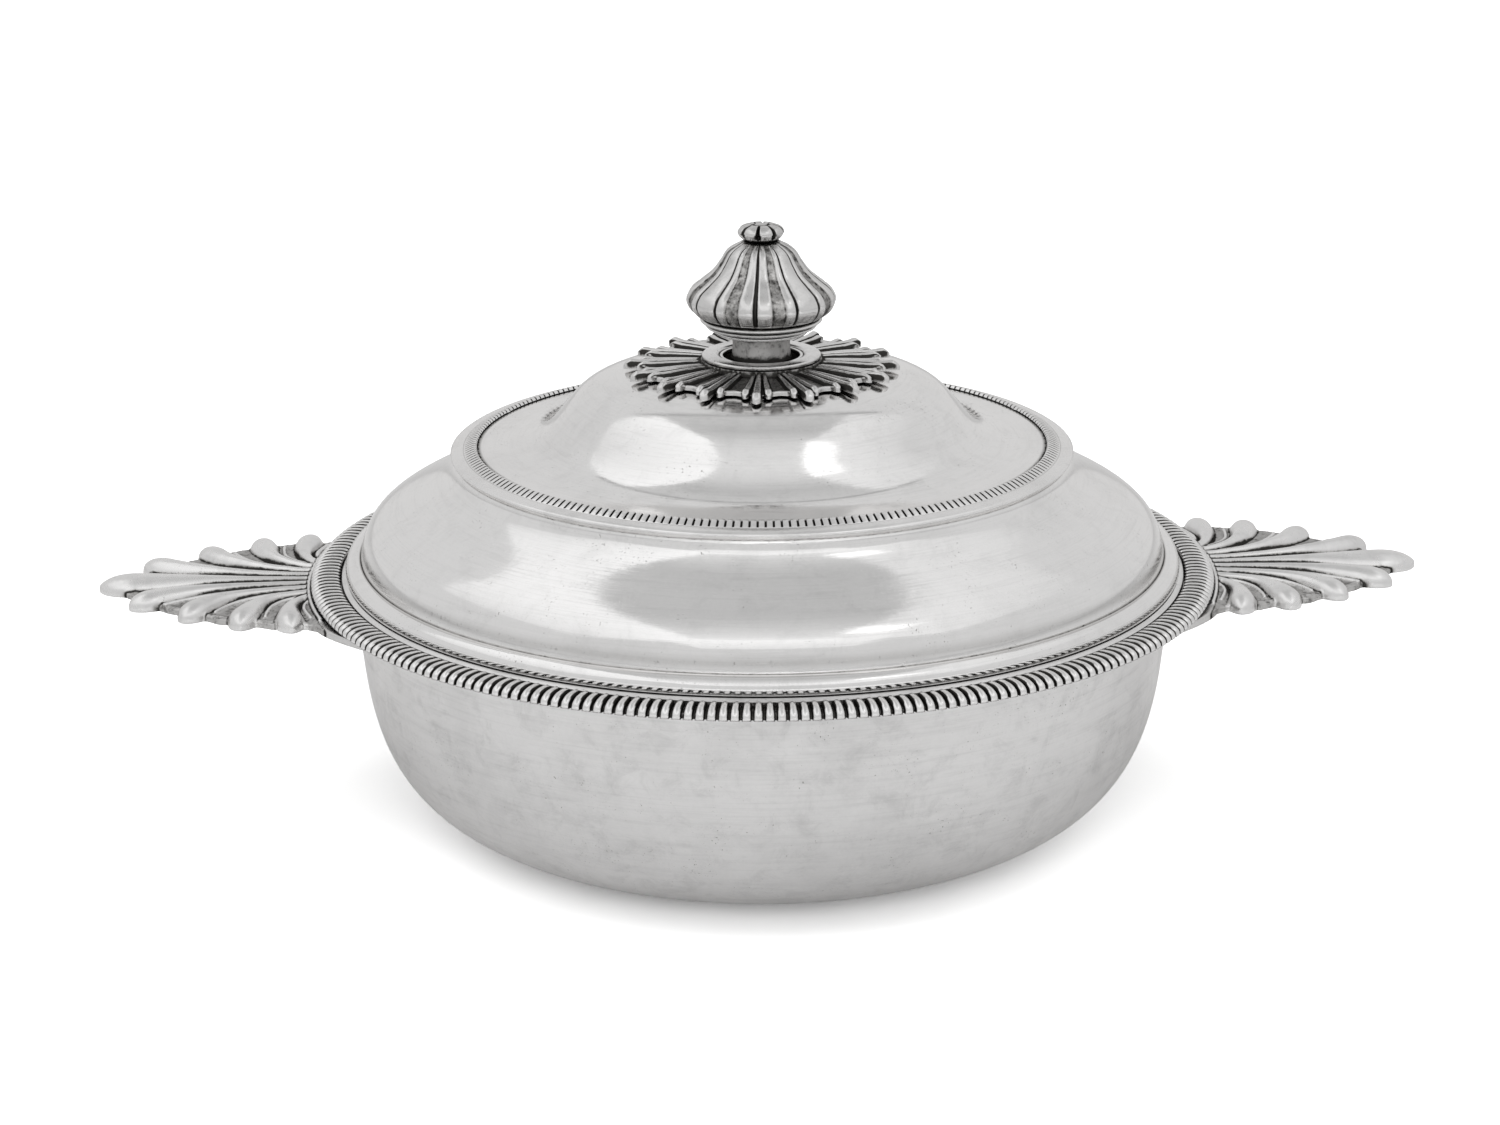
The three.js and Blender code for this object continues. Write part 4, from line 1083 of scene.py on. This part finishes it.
def outwards(place, side=1):
    return np.array((HANDLE_INNER_RADIUS + place[0] * MM, place[1] * side * MM))


def lobe_path(k, side, steps):
    root_y = k * LOBE_ROOT_PITCH * side
    root = np.array((math.sqrt(HANDLE_INNER_RADIUS ** 2 - root_y ** 2) + BAND_THICKNESS / 2, root_y))
    bend = root + np.array((LOBE_BENDS[k][0], LOBE_BENDS[k][1] * side)) * MM
    return quadratic(root, bend, outwards(LOBE_TIPS[k], side), steps)


def lobe_width(k, run):
    swell = np.interp(run, *zip(*LOBE_SWELL_SHARES))
    return LOBE_ROOT_WIDTH + (LOBE_TIP_WIDTHS[k] * MM - LOBE_ROOT_WIDTH) * swell


def rounded_bar(path, widths, rises, arc_steps):
    """Sections of a bar with a flat bottom and a rounded back along the path."""
    base = HANDLE_BASE_HEIGHT
    sections = []
    for centre, side, width, rise in zip(path, side_vectors(path), widths, rises):
        section = [(*(centre + side * width / 2), base), (*(centre - side * width / 2), base)]
        for angle in np.linspace(0, math.pi, arc_steps + 1)[1:-1]:
            shift = -math.cos(angle) * width / 2
            section.append((*(centre + side * shift), base + rise * math.sin(angle) ** 0.75))
        sections.append(section)
    return sections


def lobe(k, side):
    path = lobe_path(k, side, LOBE_STEPS)
    run = np.linspace(0, 1, LOBE_STEPS + 1)
    length = run_along(path)
    end_length = LOBE_TIP_WIDTHS[k] * MM * LOBE_END_SHARE
    end = np.sqrt(np.clip(1 - np.clip(1 - (length[-1] - length) / end_length, 0, 1) ** 2, 0, 1))
    rise = LOBE_ROOT_RISE + (LOBE_RISE - LOBE_ROOT_RISE) * smooth_step(run * 1.15)
    widths = lobe_width(k, run) * np.maximum(end, LOBE_LEAST_WIDTH_SHARE)
    return rounded_bar(path, widths, rise * np.maximum(end, LOBE_LEAST_RISE_SHARE) ** 0.7, LOBE_BACK_STEPS)


def thin_rib(k, side):
    """The narrow rib that runs beside a lobe on its outer side."""
    run = np.linspace(*THIN_RIB_SHARES, 26)
    whole_run = np.linspace(0, 1, LOBE_STEPS + 1)
    path = np.stack([np.interp(run, whole_run, axis) for axis in lobe_path(k, side, LOBE_STEPS).T], 1)
    offset = lobe_width(k, run) / 2 + (0.75 + run ** 2) * MM
    path += side_vectors(path) * side * offset[:, None]
    widths = THIN_RIB_WIDTH * (1 - 0.4 * run ** 4)
    return rounded_bar(path, widths, [WEB_THICKNESS + THIN_RIB_RISE] * len(path), RIB_BACK_STEPS)


def web_edge(k, side):
    """The raised edge of the web between two neighbouring tips."""
    centre = outwards((0, 0))
    places = ((LOBE_TIPS[k], 0.14), (WEB_NOTCHES[k], 0.03), (LOBE_TIPS[k + 1], 0.14))
    bends = [outwards(place, side) + (centre - outwards(place, side)) * share for place, share in places]
    path = quadratic(*bends, 12)
    rises = [WEB_THICKNESS + WEB_EDGE_RISE] * len(path)
    return rounded_bar(path, [WEB_EDGE_WIDTH] * len(path), rises, RIB_BACK_STEPS)


def plate(outline, bottom, top):
    return [[(x, y, height) for x, y in outline] for height in (bottom, top)]


def web_outline():
    """The sheet between the lobes, with a scallop cut in between each pair of tips."""
    centre = outwards((0, 0))
    heel = outwards(WEB_HEEL)
    heel_angle = math.atan2(heel[1], heel[0])
    upper = [heel]
    for tip, notch in zip(map(outwards, LOBE_TIPS[:0:-1]), map(outwards, WEB_NOTCHES[::-1])):
        upper += [tip + (centre - tip) * WEB_TIP_SHARE, notch]
    tip = outwards(LOBE_TIPS[0])
    lower = [np.array((p[0], -p[1])) for p in upper[::-1]]
    root = arc(HANDLE_INNER_RADIUS + BAND_THICKNESS / 2, -heel_angle, heel_angle, 16)
    return [*root, *upper, tip + (centre - tip) * WEB_TIP_SHARE, *lower]


def flange_outline():
    shoulder = FLANGE_HALF_ANGLE * FLANGE_SHOULDER_SHARE
    outer = []
    for angle in np.linspace(-FLANGE_HALF_ANGLE, FLANGE_HALF_ANGLE, 41):
        share = smooth_step((FLANGE_HALF_ANGLE - abs(angle)) / (FLANGE_HALF_ANGLE - shoulder))
        radius = FLANGE_END_RADIUS + (FLANGE_OUTER_RADIUS - FLANGE_END_RADIUS) * share
        outer.append(polar(radius, angle, 0)[:2])
    return outer + arc(LEDGE_INNER_RADIUS, FLANGE_HALF_ANGLE, -FLANGE_HALF_ANGLE, 40)


def lofted(bodies):
    """Vertices and faces of closed bodies, each through sections of equal counts."""
    vertices, faces = [], []
    for sections in bodies:
        count, first = len(sections[0]), len(vertices)
        last = first + (len(sections) - 1) * count
        for a in range(first, last, count):
            b = a + count
            faces += [(a + i, a + (i + 1) % count, b + (i + 1) % count, b + i) for i in range(count)]
        faces += [tuple(range(first, first + count))[::-1], tuple(range(last, last + count))]
        for section in sections:
            vertices += section
    return vertices, faces


def cast_palmette():
    """The palmette's mesh: its bodies melted into one by a voxel remesh, and smoothed."""
    base = HANDLE_BASE_HEIGHT
    band = arc(HANDLE_INNER_RADIUS + BAND_THICKNESS, -BAND_HALF_ANGLE, BAND_HALF_ANGLE, 48)
    band += arc(GADROON_OUTER_RADIUS + 0.05 * MM, BAND_HALF_ANGLE, -BAND_HALF_ANGLE, 48)
    bodies = [
        plate(web_outline(), base, base + WEB_THICKNESS),
        plate(flange_outline(), FLANGE_TOP_HEIGHT - FLANGE_THICKNESS, FLANGE_TOP_HEIGHT),
        plate(band, base, base + BAND_HEIGHT),
    ]
    for k, side in LOBES:
        bodies.append(lobe(k, side))
        if k:
            bodies.append(thin_rib(k, side))
    bodies += [web_edge(k, side) for k in range(len(WEB_NOTCHES)) for side in (1, -1)]
    rough = piece_from("palmette_rough", *lofted(bodies), handle_silver)
    remesh = rough.modifiers.new("cast", "REMESH")
    remesh.mode = "VOXEL"
    remesh.voxel_size = HANDLE_GRAIN
    remesh.use_smooth_shade = True
    smooth = rough.modifiers.new("polish", "SMOOTH")
    smooth.iterations = POLISH_STEPS
    smooth.factor = 0.5
    mesh = evaluated_mesh(rough)
    discard(rough)
    return mesh


def depths(mesh, reach, full_depth):
    """How deep each point lies below its smoothed surroundings, from -1 to 1.

    reach is the number of smoothing steps and full_depth the depth that counts as 1.
    """
    points, normals = point_values(mesh, "co"), point_values(mesh, "normal")
    edges = np.empty(len(mesh.edges) * 2, int)
    mesh.edges.foreach_get("vertices", edges)
    starts, stops = edges.reshape(-1, 2).T
    ends, others = np.concatenate([starts, stops]), np.concatenate([stops, starts])
    degree = np.maximum(np.bincount(ends, minlength=len(points)), 1)

    def averaged(values):
        return np.stack([np.bincount(ends, column[others], len(points)) / degree for column in values.T], 1)

    smooth = points
    for _ in range(reach):
        smooth = averaged(smooth)
    depth = ((smooth - points) * normals).sum(1)[:, None]
    return np.clip(averaged(depth) / full_depth, -1, 1)[:, 0]


def palmette_tarnish_and_shade(points):
    """How dark the palmette is painted: tarnish and painted shade in the web, and painted shade in a line
    along each lobe, at the band and on the flange under the border.
    """
    place, height = points[:, :2], points[:, 2]
    run = np.linspace(0, 1, 81)
    gaps, lines = [], []
    for k, side in LOBES:
        away = np.hypot(*(place[:, None, :] - lobe_path(k, side, 80)[None, :, :]).transpose(2, 0, 1))
        nearest = away.argmin(1)
        gap = away[np.arange(len(place)), nearest] - lobe_width(k, run)[nearest] / 2
        gaps.append(gap)
        open_end = 1 - smooth_step((run[nearest] - 0.86) / 0.1)
        opening = smooth_step((run[nearest] - 0.4) / 0.3)
        fineness = 1 - 0.07 * k
        reach = (0.95 - 0.3 * opening) * fineness * MM
        depth = (1.8 - 0.8 * opening) * fineness
        # A painted shade line along the gap beside each lobe.
        lines.append(np.clip(depth * near(gap, 0.1 * MM, reach), 0, 1) * open_end)
    least_gap = np.min(gaps, 0)
    line = np.max(lines, 0) * smooth_step((least_gap + 1 * MM) / (0.3 * MM))
    low = height < HANDLE_BASE_HEIGHT + WEB_THICKNESS + 0.5 * MM
    # Tarnish and painted shade in the web between the lobes.
    web = 0.42 * smooth_step(least_gap / (0.35 * MM)) * low
    radius = np.hypot(*place.T)
    band_face = HANDLE_INNER_RADIUS + BAND_THICKNESS + 0.1 * MM
    # A painted shade line where the band meets the lobes' roots.
    border = 0.8 * near(radius, band_face, 0.3 * MM)
    # Painted shadow on the flange under the border.
    flange = 0.25 * (height < FLANGE_TOP_HEIGHT + 0.1 * MM) * (radius < HANDLE_INNER_RADIUS + 3 * MM)
    return np.maximum.reduce([line * (radius > band_face), web * (radius > band_face), border, flange])


def handles():
    mesh = cast_palmette()
    # Tarnish and painted shade in the palmette's hollows, from how deep each point lies, with the painted
    # marks below added on top.
    patina_and_shade = HOLLOW_SHARE * depths(mesh, HOLLOW_STEPS, HOLLOW_DEPTH)
    store(mesh, "patina_and_shade", np.maximum(patina_and_shade, palmette_tarnish_and_shade(point_values(mesh, "co"))))
    mesh.materials.clear()
    mesh.materials.append(handle_silver)
    for name, node, angle in (
        ("palmette_right", "right_handle", 0.0), ("palmette_left", "left_handle", math.pi),
    ):
        shape = mesh.copy()
        shape.name = name
        shape.transform(Matrix.Rotation(angle, 4, "Z"))
        shape.shade_smooth()
        fit(placed(name, shape), "bowl", "cast_silver", node)
    bpy.data.meshes.remove(mesh)


def hidden_brass():
    """The screw, washer and nut keep their solids and get a turned brass finish."""
    for node in ("finial_stud", "stud_washer", "stud_nut"):
        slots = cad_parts[node].data.materials
        slots.clear()
        slots.append(stud_brass)


# Floor, light and camera

def by_ray(tree, to_others, to_camera):
    """A value for the camera's own rays and another for all the rest."""
    return add_node(tree, "ShaderNodeMapRange", {
        "Value": add_node(tree, "ShaderNodeLightPath", output="Is Camera Ray"),
        "To Min": to_others, "To Max": to_camera,
    }, "Result")


def empty_material(name):
    material = bpy.data.materials.new(name)
    material.use_nodes = True
    material.node_tree.nodes.clear()
    return material, material.node_tree


def floor():
    """White paper: brighter to the camera, which leaves only the close shadow, and grey in reflections."""
    size = FLOOR_HALF_SIZE
    corners = [(-size, -size, 0), (size, -size, 0), (size, size, 0), (-size, size, 0)]
    mesh = bpy.data.meshes.new("floor")
    mesh.from_pydata(corners, [], [(0, 1, 2, 3)])
    sheet = placed("floor", mesh)
    material, tree = empty_material("white_paper")
    paper = add_node(tree, "ShaderNodeBsdfDiffuse", {"Color": by_ray(tree, FLOOR_GREY, FLOOR_WHITE)})
    add_node(tree, "ShaderNodeOutputMaterial", {"Surface": paper})
    mesh.materials.append(material)


def white_surround():
    """White to the camera, and a light grey studio to everything else."""
    world = bpy.data.worlds.new("white_surround")
    bpy.context.scene.world = world
    world.use_nodes = True
    background = world.node_tree.nodes["Background"].inputs
    background["Color"].default_value = (1, 1, 1, 1)
    world.node_tree.links.new(by_ray(world.node_tree, STUDIO_LEVEL, 1.0), background["Strength"])


def card_material():
    material, tree = empty_material("card_light")
    level = add_node(tree, "ShaderNodeAttribute", output="Fac", attribute_name="glow")
    light = add_node(tree, "ShaderNodeEmission", {"Strength": level})
    add_node(tree, "ShaderNodeOutputMaterial", {"Surface": light})
    return material


def paper_card(name, x_range, y_range, height, glows):
    """A lit studio card overhead that only reflections show.

    glows gives its level at the near left, near right, far left and far right corners.
    """
    near_left, near_right, far_left, far_right = glows
    vertices, levels = [], []
    for v in np.linspace(0, 1, CARD_STEPS + 1):
        for u in np.linspace(0, 1, CARD_STEPS + 1):
            vertices.append((np.interp(u, (0, 1), x_range), np.interp(v, (0, 1), y_range), height))
            near_level = near_left + (near_right - near_left) * u
            far_level = far_left + (far_right - far_left) * u
            levels.append(near_level + (far_level - near_level) * v)
    mesh = bpy.data.meshes.new(name)
    mesh.from_pydata(vertices, [], [face[::-1] for face in grid_faces(CARD_STEPS + 1, CARD_STEPS + 1)])
    store(mesh, "glow", levels)
    mesh.materials.append(card_light)
    card = placed(name, mesh)
    card.visible_camera = False
    card.visible_diffuse = False
    card.visible_shadow = False
    card.visible_transmission = False


def soft_light(name, place, size, power):
    light = bpy.data.lights.new(name, "AREA")
    light.shape = "DISK"
    light.size = size
    light.energy = power
    lamp = placed(name, light)
    lamp.location = place
    lamp.rotation_mode = "QUATERNION"
    lamp.rotation_quaternion = (LIGHT_TARGET - Vector(place)).to_track_quat("-Z", "Y")
    lamp.visible_glossy = False


def camera():
    data = bpy.data.cameras.new("camera")
    data.sensor_fit = "HORIZONTAL"
    data.sensor_width = SENSOR_WIDTH
    data.lens = FOCAL_PIXELS / PHOTO_WIDTH * SENSOR_WIDTH
    data.clip_start = 0.01
    data.clip_end = 50
    view = placed("camera", data)
    turn_back = Matrix.Rotation(-OBJECT_TURN, 4, "Z")
    place = turn_back @ Vector((CAMERA_SHIFT, -CAMERA_DISTANCE, CAMERA_HEIGHT))
    tilt = Matrix.Rotation(math.pi / 2 - CAMERA_DIP, 4, "X")
    roll = Matrix.Rotation(CAMERA_ROLL, 4, "Z")
    view.matrix_world = Matrix.Translation(place) @ turn_back @ tilt @ roll
    bpy.context.scene.camera = view


bpy.context.scene.view_settings.view_transform = "Standard"
camera()
white_surround()
floor()
card_light = card_material()
for name, card in CARDS.items():
    paper_card(name, *card)
for name, lamp in LAMPS.items():
    soft_light(name, *lamp)

bowl_shell()
rim_ledge()
rim_gadroon()
handles()
lid_shell()
lid_bezel()
lid_ring()
rosette()
rosette_collar()
finial_stem()
bud_base_ring()
finial_bud()
finial_button()
hidden_brass()

bpy.context.view_layer.update()
